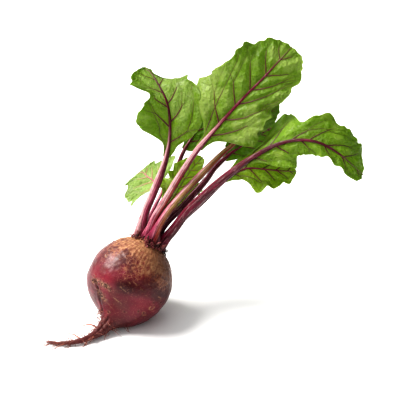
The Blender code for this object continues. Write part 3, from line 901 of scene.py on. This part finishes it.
# %% Stripes of each stalk
STALKS = {
    # stripes with a painted highlight on the left and painted shade on the right, colour of the midrib, how
    # much the foot flares
    "A": ("BBRWP BBKWN BBWPN", "P", 1.2),
    "B": ("RRKRW RKRRW KKBKR", "K", 0.6),
    "C": ("KKRMP BBBUP BBBWP", "W", 1.3),
    "D": ("RUUUW UOUOW OOGOU", "G", 0.4),
    "E": ("MKMUN KBSON USOUN", "U", 1.3),
    "F": ("WMWPN PWPNN NWNPN", "P", 1.2),
    "G": ("WWPPN WPPPN PRWPN", "W", 0.7),
    "H": ("WRWPN WRWPN PWWPN", "W", 0.7),
    "I": ("PPNNN PWPNN WWPPN", "P", 0.7),
}
FACING = np.radians([-180, -120, -75, -35, 0, 35, 75, 120, 180])      # where round the stalk each stripe is


def stripes_with_painted_light(key, turn, share, blade_share):
    """Colour of each point of a stalk: turn round it, and how far along it is; its own stripes, with a
    painted highlight on the left edge and painted shade on the right.
    """
    turn = turn + 0.10 * wave(share * 9, ord(key) + 61)
    stripe = np.clip(np.searchsorted(FACING, turn) - 1, 0, len(FACING) - 2)
    step = ease((turn - FACING[stripe]) / (FACING[stripe + 1] - FACING[stripe]), 0.3, 0.7)[:, None]
    rows = []
    for letters in STALKS[key][0].split():
        left, mid_left, face, mid_right, right = (np.array(LETTER_COLOURS[letter]) for letter in letters)
        back = 0.5 * (left + right)
        row = np.array([back, left, left, mid_left, face, mid_right, right, right, back])
        rows.append(blend(row[stripe], row[stripe + 1], step))
    colour = blend(rows[0], rows[1], ease(share, 0.0, 0.45)[:, None])
    colour = blend(colour, rows[2], ease(share, 0.5, 1.0)[:, None])
    colour = blend(colour, np.array(LETTER_COLOURS[STALKS[key][1]]), ease(blade_share, 0.02, 0.35)[:, None])
    return blend(colour, np.array(SAGE), ease(blade_share, 0.72, 1.0)[:, None] * 0.8)


print(len(STALKS), "striped stalks")

# %% [markdown]
# The stalk's material takes these stripes, breaks them up with fine streaks that run along the stalk, and
# adds the wet-looking shine of a fresh stalk. The streaks are noise on a stretched coordinate: many turns
# round the stalk for every centimetre along it.

# %% Stalk material
def stalk_paint():
    paint = Paint("stalk_striped")
    grain = paint.value("grain", "Vector")
    streak = paint.streaks(grain, 3.2, 0.10, 4.0, 0.65)
    thread = paint.streaks(grain, 9.0, 0.16, 3.0, 0.6)
    blotch = paint.streaks(grain, 0.8, 0.07, 2.0, 0.5)
    colour = paint.layers(
        paint.value("tint", "Color"),
        (streak.above(0.55, 0.08) * 0.26, BLUSH),
        (streak.below(0.46, 0.08) * 0.62, WINE),
        (thread.below(0.44, 0.08) * 0.60, PLUM),
        (blotch.above(0.52, 0.15) * 0.35, MAGENTA))
    return paint.finish(Base_Color=colour, Roughness=0.26 + thread * 0.16, Specular_IOR_Level=0.32,
                        Normal=paint.bump(streak * 0.7 + thread * 0.4, 0.0006, 0.5))


STALK_PAINT = stalk_paint()
print("stalk material:", STALK_PAINT.name)

# %% Build the stalks
SIDES, RINGS = 44, 190
STALK_ROD = unit_rod(SIDES, RINGS)
SUNK = 2.5            # mm that a stalk reaches down into the crown
FOOT, SWELL, FOOT_TINGE = 8.5, 30, 4.0      # mm over which the foot's flare, swelling and magenta tinge fade out


def stalk_radii(key, leaf, along, s, turn, on_blade):
    """Radius of every point, and how high it is on a rib."""
    ring = STALK_ROD[1]
    up = np.maximum(along, 0)
    foot = bell(up, FOOT)[ring]
    radius = (stalk_radius(leaf, s) * (1 + 0.12 * bell(up, SWELL)))[ring]
    wide = 1 + STALKS[key][2] * foot
    radius /= np.sqrt(np.cos(turn) ** 2 * (1 + 0.35 * foot) ** 2 + (np.sin(turn) / wide) ** 2)
    ribs = np.cos(12 * turn + 0.8 * wave(along / 25, ord(key))[ring]) * (0.75 + 0.25 * np.cos(5 * turn))
    channel = bell(turn, 0.62) * (0.26 + 0.2 * foot) * (1 - on_blade)
    radius *= 1 - channel + 0.055 * ribs * (1 - 0.6 * on_blade)
    radius *= (1 + 0.03 * wave(along / 11, ord(key) + 30)[ring]) * (1 - 0.18 * on_blade)
    radius[ring == RINGS - 1] *= 0.5
    return radius, ribs


def build_stalk(key):
    leaf = LEAVES[key]
    line = Line(leaf["line"])
    ring, turn = STALK_ROD[1:]
    along = np.concatenate([[-SUNK], np.linspace(0, line.length, RINGS - 1)])
    s = np.clip(along / line.length, 0, 1)
    tangent = line.along(s)
    centre = line.at(s) + np.minimum(along, 0)[:, None] * tangent
    share = np.clip((s - leaf["starts"]) / (1 - leaf["starts"]), 0, 1)
    n = square_to(tangent, smooth(leaf["face"], share))
    on_blade = ease(share, 0.0, 0.15)[ring]
    radius, ribs = stalk_radii(key, leaf, along, s, turn, on_blade)
    bm = bmesh.new()
    lay_rod(bm, STALK_ROD, centre, n, np.cross(tangent, n), radius)
    tint = stripes_with_painted_light(key, turn, (s / leaf["starts"])[ring].clip(0, 1), share[ring])
    tint = blend(tint, np.array(MAGENTA), 0.25 * bell(np.maximum(along, 0), FOOT_TINGE)[ring][:, None])
    # painted shade darkens the grooves between the ribs, and a painted blush highlight runs along their
    # crests
    groove_shade = (np.clip(0.5 - 0.5 * ribs, 0, 1) ** 2 * (1 - 0.5 * on_blade))[:, None]
    tint = tint * (1 - 0.8 * groove_shade) + np.array(WINE) * 0.5 * groove_shade
    tint = blend(tint, np.array(BLUSH), 0.26 * (np.clip(ribs, 0, 1) ** 4 * (1 - on_blade))[:, None])
    grain = np.stack([turn, along[ring], np.full(len(turn), ord(key))], 1)
    values = {"tint": tint, "grain": grain}
    piece("stalk_" + key, bm, STALK_PAINT, ["leaf_%s_stem" % key], values)


for key in LEAVES:
    build_stalk(key)
print("stalks stand on the crown")

# %% [markdown]
# ## The root
# Globe and taproot are one swollen root, so they are one rod with many rings. The rings are wide and
# close together on the globe and shrink along the tail. A small dome closes the top, where the stalks
# stand.

# %% Line and girth of the root
ROOT_EASE = 0.09      # the rings turn gently, so that the wide ones never cross
FOOT_EASE = 8.0       # the first rings turn from the crown's direction over this length, mm
CROWN = np.array([17.0, 14.5, 65.0])
CROWN_UP = unit(np.array([0.45, 0.38, 0.81]))
GLOBE = np.array([0.0, 0.0, 34.0])
GLOBE_R = 36.0
ROOT_LINE = [(17, 14.5, 65), (8.5, 7.2, 49.5), (0, 0, 34), (-7, -9, 21), (-12, -19, 13), (-17, -26, 8.5),
             (-23, -33.5, 5.4), (-31, -41, 3.9), (-42, -46.5, 2.9), (-55, -47.5, 2.2), (-67, -44, 1.3)]
ROOT_RADIUS = [(0, 9.5), (1, 12), (3, 14.5), (5.5, 18.5), (9.5, 23.7), (14.5, 28.3), (21, 32.4), (29, 35.2),
               (38, 36.1), (45, 35.4), (50, 34), (55, 31.6), (60, 28.2), (64, 24.6), (68, 19.8), (71, 15),
               (74, 10.8), (77, 8.2), (81, 6.5), (88, 4.7), (98, 3.1), (110, 2.1), (123, 1.5), (136, 0.7)]
ROOT_SIDES, DOME_RINGS = 236, 10
DOME_HIGH = 1.6       # mm
root_line = Line(ROOT_LINE)
print("root line is", round(root_line.length), "mm long")

# %% [markdown]
# The marks on the skin are set one by one, the way a painter would place them. Each is given by its azimuth
# round the globe, 0 in front and positive to the right, and its height over the table.

# %% Marks on the skin
FURROW = [(-53, 46), (-50, 43), (-46, 37), (-46, 28), (-43, 17), (-50, 9)]
SCAR = [(-58, 44), (-48, 46), (-36, 46), (-24, 43)]
SCAR_PATCH = [(-45, 37), (-37, 32)]
DASHES = [[(-9, 48), (-1, 43)], [(11, 51), (17, 47)], [(18, 48), (22, 44)], [(-2, 54), (6, 50)],
          [(-20, 36), (-8, 31)], [(24, 17), (31, 16)], [(8, 16), (13, 14)], [(38, 19), (43, 18)],
          [(26, 39), (30, 37)], [(33, 47), (38, 45)], [(-34, 31), (-24, 25)], [(46, 33), (50, 31)],
          [(1, 60), (9, 57)], [(56, 46), (60, 43)], [(-66, 30), (-62, 26)]]
PITS = [(-74, 64), (-73, 67), (-66, 66), (-58, 64), (-57, 49), (-4, 23), (17, 23), (39, 29), (25, 20),
        (-30, 20), (52, 26), (66, 38), (-88, 42), (-110, 30), (140, 44), (175, 30), (110, 24), (-150, 50),
        (95, 52)]
RING_SPOT = (37, 23)
# azimuth, height, size in mm, strength: where the skin is a clear red, and where brown cork shows through
RED = [(-62, 51, 8, 0.8), (-30, 40, 12, 0.5), (22, 30, 10, 0.9), (-14, 19, 10, 0.8), (-30, 53, 6, 0.6),
       (120, 40, 14, 0.7), (-140, 35, 14, 0.7), (180, 50, 12, 0.6)]
CORK = [(58, 52, 13, 0.9), (48, 40, 8, 0.5), (78, 38, 11, 0.8), (30, 56, 9, 0.5), (8, 58, 8, 0.35),
        (-66, 66, 7, 0.55), (-60, 60, 4, 0.6), (-40, 36, 7, 0.4), (120, 55, 13, 0.7), (-150, 58, 13, 0.7),
        (62, 24, 12, 0.5), (48, 14, 8, 0.3)]
# where the right side, away from the key light, is painted a darker brown as shade, and where the red is
# nearly black
PAINTED_SHADE = [(80, 40, 26, 1.0), (100, 55, 18, 0.5)]
DEEP = [(0, 47, 8, 1.2), (-12, 49, 6, 0.5), (12, 43, 7, 0.4), (56, 34, 12, 0.8), (-38, 28, 8, 0.4),
        (-10, 11, 11, 0.5), (22, 13, 10, 0.5)]


def on_globe(azimuth, height):
    up = height - GLOBE[2]
    out = np.sqrt(max(GLOBE_R**2 - up * up, 1.0))
    turn = np.radians(azimuth)
    return GLOBE + np.array([np.sin(turn) * out, -np.cos(turn) * out, up])


def stroke(marks, step=60):
    """Points of a smooth stroke through marks on the globe."""
    return smooth([on_globe(*mark) for mark in marks], np.linspace(0, 1, step))


print("first pit at", on_globe(*PITS[0]).round(1))

# %% [markdown]
# The skin is not smooth: it has soft lumps, corky rings round the crown, fine scratches, a furrow down
# its left side that runs into the tail, and a wrinkled tail. All of these are real shape, so each point
# of the root is moved in or out. The same numbers are kept on the points for the colours.

# %% Rings of the root
def root_rings():
    """Each ring's distance along the root, radius, middle and two directions."""
    profile = smooth(ROOT_RADIUS, np.linspace(0, 1, 600))
    tail_end = ROOT_RADIUS[-1][0]
    reach = np.concatenate([np.zeros(DOME_RINGS), np.linspace(0.3, 20, 56), np.linspace(20.4, 84, 170),
                            np.linspace(84.7, tail_end, 90)])
    dome = np.linspace(0.04, 1, DOME_RINGS)
    girth = np.interp(reach, profile[:, 0], profile[:, 1])
    girth[:DOME_RINGS] = dome * ROOT_RADIUS[0][1]
    s = reach / tail_end
    centre, tangent = root_line.at(s), root_line.along(s, ROOT_EASE)
    tangent = unit(blend(tangent, -CROWN_UP, np.clip(1 - s * root_line.length / FOOT_EASE, 0, 1)[:, None]))
    centre[:DOME_RINGS] += CROWN_UP * (DOME_HIGH * (1 - dome**2))[:, None]
    u, w = cross_frame(tangent, np.cross(tangent[0], (0.0, 1.0, 0.0)))
    return reach, girth, centre, u, w


print("the root has", len(root_rings()[0]), "rings")

# %% Skin material
def skin_paint():
    paint = Paint("beet_skin")
    place, grain = paint.place(), paint.value("grain", "Vector")
    names = ("crown", "tail", "marks", "dark", "rough", "red", "corky")
    crown, tail, marks, dark, rough, red, corky = (paint.value(name) for name in names)
    cloud = paint.noise(place, 38.0, 3.0, 0.55)
    patch = paint.noise(place, 75.0, 4.0, 0.6, 0.4)
    speck = paint.noise(place, 420.0, 3.0, 0.65)
    fleck = paint.noise(place, 900.0, 2.0, 0.6)
    dots = paint.noise(place, 640.0, 3.0, 0.6)
    brush = paint.streaks(grain, 15.0, 0.26, 4.0, 0.65, 0.25)
    hoop = paint.streaks(grain, 1.6, 2.2, 4.0, 0.6, 0.5)
    wires = paint.cells(paint.shift(place, paint.noise(place, 160.0, 2.0, output="Color"), 0.006), 300.0)
    wine = paint.layers(
        (0.060, 0.007, 0.012),
        (cloud.ramp(0.36, 0.66), (0.17, 0.014, 0.030)),
        (patch.ramp(0.5, 0.72) * 0.45, (0.24, 0.030, 0.050)),
        (patch.below(0.5, 0.20) * 0.65, (0.110, 0.034, 0.026)),
        (hoop.ramp(0.5, 0.75) * 0.30, (0.22, 0.075, 0.065)),
        (red * (0.75 + (patch - 0.5) * 0.8), (0.200, 0.010, 0.024)),
        (paint.value("deepest") * 0.85, (0.045, 0.0015, 0.004)))
    tan = paint.layers(
        (0.27, 0.115, 0.055),
        (brush.ramp(0.35, 0.65), (0.54, 0.30, 0.155)),
        (speck.above(0.5, 0.25) * 0.6, (0.20, 0.075, 0.035)),
        (fleck.above(0.55, 0.2) * 0.5, (0.66, 0.42, 0.24)),
        # painted shade: the cork on the right side, away from the key light, is darker
        (paint.value("old") * 0.85, (0.115, 0.048, 0.026)))
    bark = paint.layers(
        (0.060, 0.012, 0.013),
        (hoop.ramp(0.35, 0.65), (0.165, 0.042, 0.038)),
        (speck.ramp(0.48, 0.72) * 0.45, (0.27, 0.11, 0.085)))
    brown = paint.layers((0.030, 0.009, 0.007), (dots.ramp(0.40, 0.62), (0.36, 0.19, 0.12)))
    edge = crown + (cloud - 0.5) * 0.7 + (brush - 0.5) * 0.8 + (patch - 0.5) * 0.6 + corky * 0.32 - red * 0.25
    cork = edge.ramp(0.54, 0.96)
    scratch = (1 - wires.ramp(0.0, 0.09)) * edge.ramp(0.05, 0.55) * patch.above(0.42, 0.16)
    colour = paint.layers(
        wine,
        (edge.ramp(0.18, 0.80) * speck.above(0.42, 0.16) * 0.60, (0.33, 0.125, 0.060)),
        (scratch * 0.58, (0.46, 0.24, 0.13)),
        (cork * 0.92, tan),
        (fleck.above(0.56, 0.14) * 0.30, (0.40, 0.17, 0.10)),
        (rough * 0.92, brown),
        (tail * 0.92, bark),
        (marks * speck.ramp(0.36, 0.60) * 0.75, (0.44, 0.24, 0.13)),
        (dark * 0.88, (0.026, 0.007, 0.008)))
    height = speck * 0.35 + fleck * 0.12 + brush * cork * 0.8 + hoop * 0.3 + scratch * 0.4
    roughness = 0.36 + cork * 0.25 + tail * 0.2 + rough * 0.2 + (speck - 0.5) * 0.12
    return paint.finish(Base_Color=colour, Roughness=roughness, Specular_IOR_Level=0.35,
                        Normal=paint.bump(height, 0.0005, 0.45))


SKIN_PAINT = skin_paint()
print("skin material:", SKIN_PAINT.name)

# %% Build the root
def near_skin(spots, points):
    """Distance from each point of the root to marks that are first moved onto the skin."""
    skin = [((spots - p) ** 2).sum(1).argmin() for p in points]
    return nearest(spots, spots[skin])


def patches(spots, rows):
    """How strongly each point lies in the soft round patches of a list."""
    return sum(amount * bell(np.linalg.norm(spots - on_globe(azimuth, height), axis=1), size)
               for azimuth, height, size, amount in rows)


def build_root():
    reach, girth, centre, u, w = root_rings()
    rod = unit_rod(ROOT_SIDES, len(reach))
    ring, turn = rod[1:]
    dist, size = reach[ring], girth[ring]
    on_tail = ease(dist, 70, 84)
    spots = centre[ring] + size[:, None] * (np.cos(turn)[:, None] * u[ring] + np.sin(turn)[:, None] * w[ring])
    soft = 0.34 * lumps(spots, 15, 21) + 0.12 * lumps(spots, 6, 22) + 0.10 * lumps(spots, 2.4, 25)
    soft += 0.22 * ease(26 - dist, 0, 16) * lumps(spots, 1.7, 24)
    rings = 0.22 * bell(dist - 4, 10) * np.sin(dist * 2 * np.pi / 2.1 + 2.0 * lumps(spots, 8, 23))
    wrinkle = 0.34 * wave(dist / 1.6 + 1.2 * lumps(spots, 5, 26), 27) + 0.34 * lumps(spots, 2.6, 28)
    wrinkle += 0.25 * wave(turn * 3 + dist / 30, 29) - 0.35
    shift = soft * (1 - on_tail) * np.clip(size / 12, 0, 1)
    shift += rings + wrinkle * on_tail * np.clip(size / 7, 0.12, 1)
    below = root_line.at(np.linspace(0.52, 0.66, 40)) + (-2.5, -6.5, 2.5)      # the furrow runs on below
    furrow = near_skin(spots, np.vstack([stroke(FURROW), below]))
    scar = near_skin(spots, np.vstack([stroke(SCAR), stroke(SCAR_PATCH)]))
    pits = near_skin(spots, [on_globe(*p) for p in PITS])
    spot = near_skin(spots, [on_globe(*RING_SPOT)])
    dashes = 0.8 * bell(near_skin(spots, np.vstack([stroke(d, 24) for d in DASHES])), 0.5)
    dashes *= 0.75 + 0.4 * lumps(spots, 3, 31)
    rough = bell(scar, 2.6) * np.clip(1 + 0.5 * lumps(spots, 2.2, 32), 0, 1.4)
    shift += 0.4 * bell(furrow - 2.2, 0.9) * (1 - on_tail) - 1.3 * (1 - 0.7 * on_tail) * bell(furrow, 1.0)
    shift += rough * (0.7 * lumps(spots, 1.5, 30) - 0.1)
    shift += 0.2 * bell(pits - 1.6, 0.6) - 0.55 * bell(pits, 0.7)
    shift += 0.12 * dashes + 0.25 * bell(spot - 2.2, 0.6)
    bm = bmesh.new()
    lay_rod(bm, rod, centre, u, w, np.maximum(size + shift, 0.25))
    for vert in bm.verts:
        vert.co.z = max(vert.co.z, 0.0)
    marks = dashes + 1.3 * bell(spot - 2.2, 0.8) * (0.7 + 0.4 * lumps(spots, 4, 35))
    marks += 0.35 * bell(pits - 1.4, 0.6) * (1 + lumps(spots, 3, 34))
    dark = bell(furrow, 1.2) * (0.75 + 0.35 * lumps(spots, 3, 33)) * (1 - 0.6 * on_tail)
    dark += 0.8 * bell(pits, 0.8)
    values = {"red": patches(spots, RED), "corky": patches(spots, CORK), "old": patches(spots, PAINTED_SHADE),
              "deepest": patches(spots, DEEP), "tail": on_tail, "crown": (spots - GLOBE) @ CROWN_UP / GLOBE_R,
              "marks": np.clip(marks, 0, 1), "dark": np.clip(dark, 0, 1), "rough": rough,
              "grain": np.stack([turn, dist, np.zeros(len(turn))], 1)}
    piece("root", bm, SKIN_PAINT, ["beet_root"], values)
    print("root has", len(turn), "points")


build_root()

# %% [markdown]
# ## The crown's dry remains
# Round the foot of the stalks the beetroot keeps what is left of its older leaves: dry stumps, curled
# flakes of papery skin, and dark fibres. They are thin, brown and ragged, and they hide where the stalks
# join.

# %% Dry material
def dry_paint():
    paint = Paint("dry_brown")
    place = paint.place()
    cloud = paint.noise(place, 240.0, 3.0, 0.6)
    speck = paint.noise(place, 900.0, 3.0, 0.7)
    colour = paint.layers(
        (0.040, 0.012, 0.012),
        (cloud.ramp(0.38, 0.62), (0.30, 0.085, 0.085)),
        (speck.above(0.5, 0.2) * 0.5, (0.44, 0.22, 0.18)),
        (cloud.above(0.56, 0.1) * 0.5, (0.34, 0.055, 0.095)))
    return paint.finish(Base_Color=colour, Roughness=0.78, Normal=paint.bump(speck + cloud, 0.0008, 0.7))


DRY_PAINT = dry_paint()
FIBRE_PAINT = Paint("fibre_black").finish(Base_Color=(0.022, 0.012, 0.010), Roughness=0.7)
print("dry materials:", DRY_PAINT.name, FIBRE_PAINT.name)

# %% Stumps
# angle round the crown in degrees, distance out, height and radius in mm, lean outwards
STUBS = [(155, 12.6, 5, 1.3, 0.7), (205, 13.2, 4.6, 1.2, 0.6), (250, 12.8, 4, 1.2, 0.9),
         (292, 13.4, 4.6, 1.2, 0.8), (316, 13.8, 5, 1.2, 0.7), (60, 13.2, 5, 1.4, 0.6),
         (105, 13.0, 5, 1.4, 0.5)]
STUB_RINGS, STUB_SUNK = 22, 2.2
STUB_ROD = unit_rod(14, STUB_RINGS)
ACROSS_CROWN = unit(np.cross((0.0, 1.0, 0.0), CROWN_UP))
AWAY = np.cross(CROWN_UP, ACROSS_CROWN)


def round_crown(angle, out, tall):
    """A place by the crown: angle round it in degrees, distance out from its middle and height, mm."""
    turn = np.radians(angle)
    outward = np.cos(turn) * ACROSS_CROWN + np.sin(turn) * AWAY
    return CROWN + outward * out + CROWN_UP * tall, outward


def build_stub(number, angle, out, tall, radius, lean):
    foot, outward = round_crown(angle, out, 0.2 - (out - 12) * 0.9 + radius * 0.7)
    path = [foot - CROWN_UP * STUB_SUNK, foot + CROWN_UP * tall * 0.45 + outward * tall * lean * 0.3,
            foot + CROWN_UP * tall * 0.92 + outward * tall * lean]
    s = np.linspace(0, 1, STUB_RINGS)
    ring, turn = STUB_ROD[1:]
    girth = radius * np.interp(s, [0, 0.3, 0.7, 0.92, 1], [1.25, 1.0, 0.75, 0.6, 0.25])[ring]
    girth *= (1 + 0.22 * np.cos(5 * turn + number) + 0.2 * wave(turn * 2.2 + 9, number)
              + 0.12 * wave(ring / 2.5, number))
    bm = bmesh.new()
    bend_rod(bm, STUB_ROD, Line(path).at(s), outward, np.maximum(girth, 0.12))
    ragged = 0.7 * wave(turn * 2.6 + 20, number + 50) * ease(s, 0.75, 1.0)[ring] * radius
    for vert, more in zip(bm.verts, ragged):
        vert.co += Vector(CROWN_UP * more)
    piece("stub_%d" % number, bm, DRY_PAINT, ["dried_stub_%d" % number])


for number, row in enumerate(STUBS, 1):
    build_stub(number, *row)
print(len(STUBS), "stumps")

# %% Flakes
def build_flakes(count=80):
    """Curled papery flakes round the crown, each a small grid with a twist."""
    rng = np.random.default_rng(5)
    bm = bmesh.new()
    for k in range(count):
        angle = rng.uniform(-180, 180) if k % 2 else rng.uniform(-165, 0)
        out = rng.uniform(10.5, 15.0)
        foot, outward = round_crown(angle, out, 0.3 - max(out - 9.5, 0) * 0.62)
        beside = np.cross(CROWN_UP, outward)
        long, wide = rng.uniform(2.2, 5.5), rng.uniform(1.2, 3.4)
        lean, curl, twist = rng.uniform(0.0, 1.5), rng.uniform(-1.6, 1.6), rng.uniform(-0.8, 0.8)
        first = len(bm.verts)
        bmesh.ops.create_grid(bm, x_segments=4, y_segments=7, size=1)
        bm.verts.ensure_lookup_table()
        for vert in bm.verts[first:]:
            x, y = vert.co.x, (vert.co.y + 1) / 2
            bend = lean + curl * y
            shape = wide * (1 - 0.75 * y**1.5) * (1 + 0.3 * np.sin(7 * y + k))
            across = beside * np.cos(twist * y) + outward * np.sin(twist * y)
            spot = foot + (CROWN_UP * np.cos(bend) + outward * np.sin(bend)) * long * y
            spot += across * x * shape * 0.5 + outward * (0.35 * x * x * wide) - CROWN_UP * 0.7
            vert.co = spot
    piece("dry_flakes", bm, DRY_PAINT, thick=0.25)
    print(count, "flakes ring the crown")


build_flakes()

# %% [markdown]
# ## Hair roots
# Thick side rootlets are rods of their own, with wrinkles. The finest roots are threads: each starts on
# the skin of the tail or at the furrow, wanders a little and droops to the table. They are all one piece.

# %% Rootlets
ROOTLETS = [
    ([(-25.4, -29.8, 5.4), (-32, -25, 6), (-37, -22.5, 4.2), (-42, -22, 2)], 0.9),
    ([(-27.5, -42, 5), (-30, -46, 6), (-33.5, -51, 5), (-36, -55, 2)], 0.7),
    ([(-40, -42.4, 4.2), (-45, -38, 4.8), (-50, -35, 3.2), (-54, -33, 1.4)], 0.6),
    ([(-51, -49.5, 3), (-55, -53, 3.4), (-59, -55, 1.8), (-64, -56.5, 1)], 0.5),
]
THICK_RINGS, THREAD_RINGS = 46, 14
THICK_ROD, THREAD_ROD = unit_rod(12, THICK_RINGS), unit_rod(5, THREAD_RINGS)
paint = Paint("rootlet_brown")
cloud = paint.noise(paint.place(), 300.0, 3.0, 0.6)
colour = paint.layers((0.14, 0.030, 0.024), (cloud.ramp(0.35, 0.65), (0.40, 0.16, 0.11)))
ROOT_PAINT = paint.finish(Base_Color=colour, Roughness=0.65, Normal=paint.bump(cloud, 0.0004, 0.6))


def build_rootlet(number, path, radius):
    line = Line(path)
    s = np.linspace(0, 1, THICK_RINGS)
    centre = line.at(s) + 0.35 * np.stack([wave(s * 9, number + k) for k in (60, 70, 80)], 1) * s[:, None]
    centre[0] -= line.along(0.0)[0] * 1.5
    ring, turn = THICK_ROD[1:]
    girth = radius * (1 - 0.75 * s)[ring] * (1 + 0.16 * wave(s * 22, number)[ring] + 0.12 * np.cos(3 * turn))
    bm = bmesh.new()
    bend_rod(bm, THICK_ROD, centre, (0.1, 0.2, 1.0), girth)
    piece("side_root_%d" % number, bm, ROOT_PAINT, ["rootlet_%d" % number])


for number, (path, radius) in enumerate(ROOTLETS, 1):
    build_rootlet(number, path, radius)
print(len(ROOTLETS), "side rootlets")

# %% Fine roots
def thread(bm, rng, start, way, length, radius):
    """One fine root: it sets off in a direction, wanders, and sinks to the table."""
    spots = [start]
    way = unit(np.asarray(way, float))
    for k in range(THREAD_RINGS - 1):
        way = unit(way + rng.normal(size=3) * 0.22 + np.array([0, 0, -0.10]))
        spot = spots[-1] + way * length / (THREAD_RINGS - 1)
        spot[2] = max(spot[2], radius + 0.1)
        spots.append(spot)
    centre = smooth(spots, np.linspace(0, 1, THREAD_RINGS))
    centre[:, 2] = np.maximum(centre[:, 2], radius + 0.05)
    bend_rod(bm, THREAD_ROD, centre, (0.3, 0.1, 1.0), radius * np.linspace(1, 0.35, THREAD_RINGS))


def build_threads():
    rng = np.random.default_rng(12)
    bm = bmesh.new()
    profile = np.array(ROOT_RADIUS)
    for k in range(96):
        s = 0.56 + 0.42 * rng.uniform() ** 1.25
        here, tangent = root_line.at(s)[0], root_line.along(s)[0]
        turn = rng.uniform(0, 2 * np.pi)
        across = unit(np.cross(tangent, (0.0, 0.0, 1.0)))
        over = np.cross(across, tangent) * abs(np.sin(turn)) * rng.choice([1, -0.6])
        outward = across * np.cos(turn) + over
        girth = np.interp(s * root_line.length, profile[:, 0], profile[:, 1])
        start = here + outward * girth * 0.8
        start[2] = max(start[2], 0.5)
        thread(bm, rng, start, outward * 0.8 + tangent * rng.uniform(0.1, 1.0), rng.uniform(4, 17),
               rng.uniform(0.14, 0.30))
    for k in range(30):
        mark = FURROW[-1] if k % 3 else FURROW[-2]
        start = on_globe(mark[0] + rng.uniform(-7, 4), mark[1] + rng.uniform(-4, 7)) * (0.985, 0.985, 1)
        out = unit(start - GLOBE)
        thread(bm, rng, start, out + np.array([-0.9, -0.2, 0.2]) * rng.uniform(0.2, 1), rng.uniform(4, 12),
               rng.uniform(0.14, 0.28))
    for k in range(26):
        start = on_globe(rng.uniform(-38, 4), rng.uniform(4, 10)) * (0.99, 0.99, 1)
        way = (rng.uniform(-0.6, 1.0), -1, -0.2)
        thread(bm, rng, start, way, rng.uniform(4, 11), rng.uniform(0.16, 0.30))
    piece("fine_roots", bm, ROOT_PAINT)
    bm = bmesh.new()
    for k in range(34):
        angle = rng.uniform(-60, 12) if k % 3 else rng.uniform(-180, 180)
        start, outward = round_crown(angle, rng.uniform(12.5, 16), -2)
        way = outward + CROWN_UP * rng.uniform(0.1, 0.9)
        thread(bm, rng, start, way, rng.uniform(3, 7), rng.uniform(0.16, 0.34))
    piece("crown_fibres", bm, FIBRE_PAINT)


build_threads()
print("fine roots are in place")
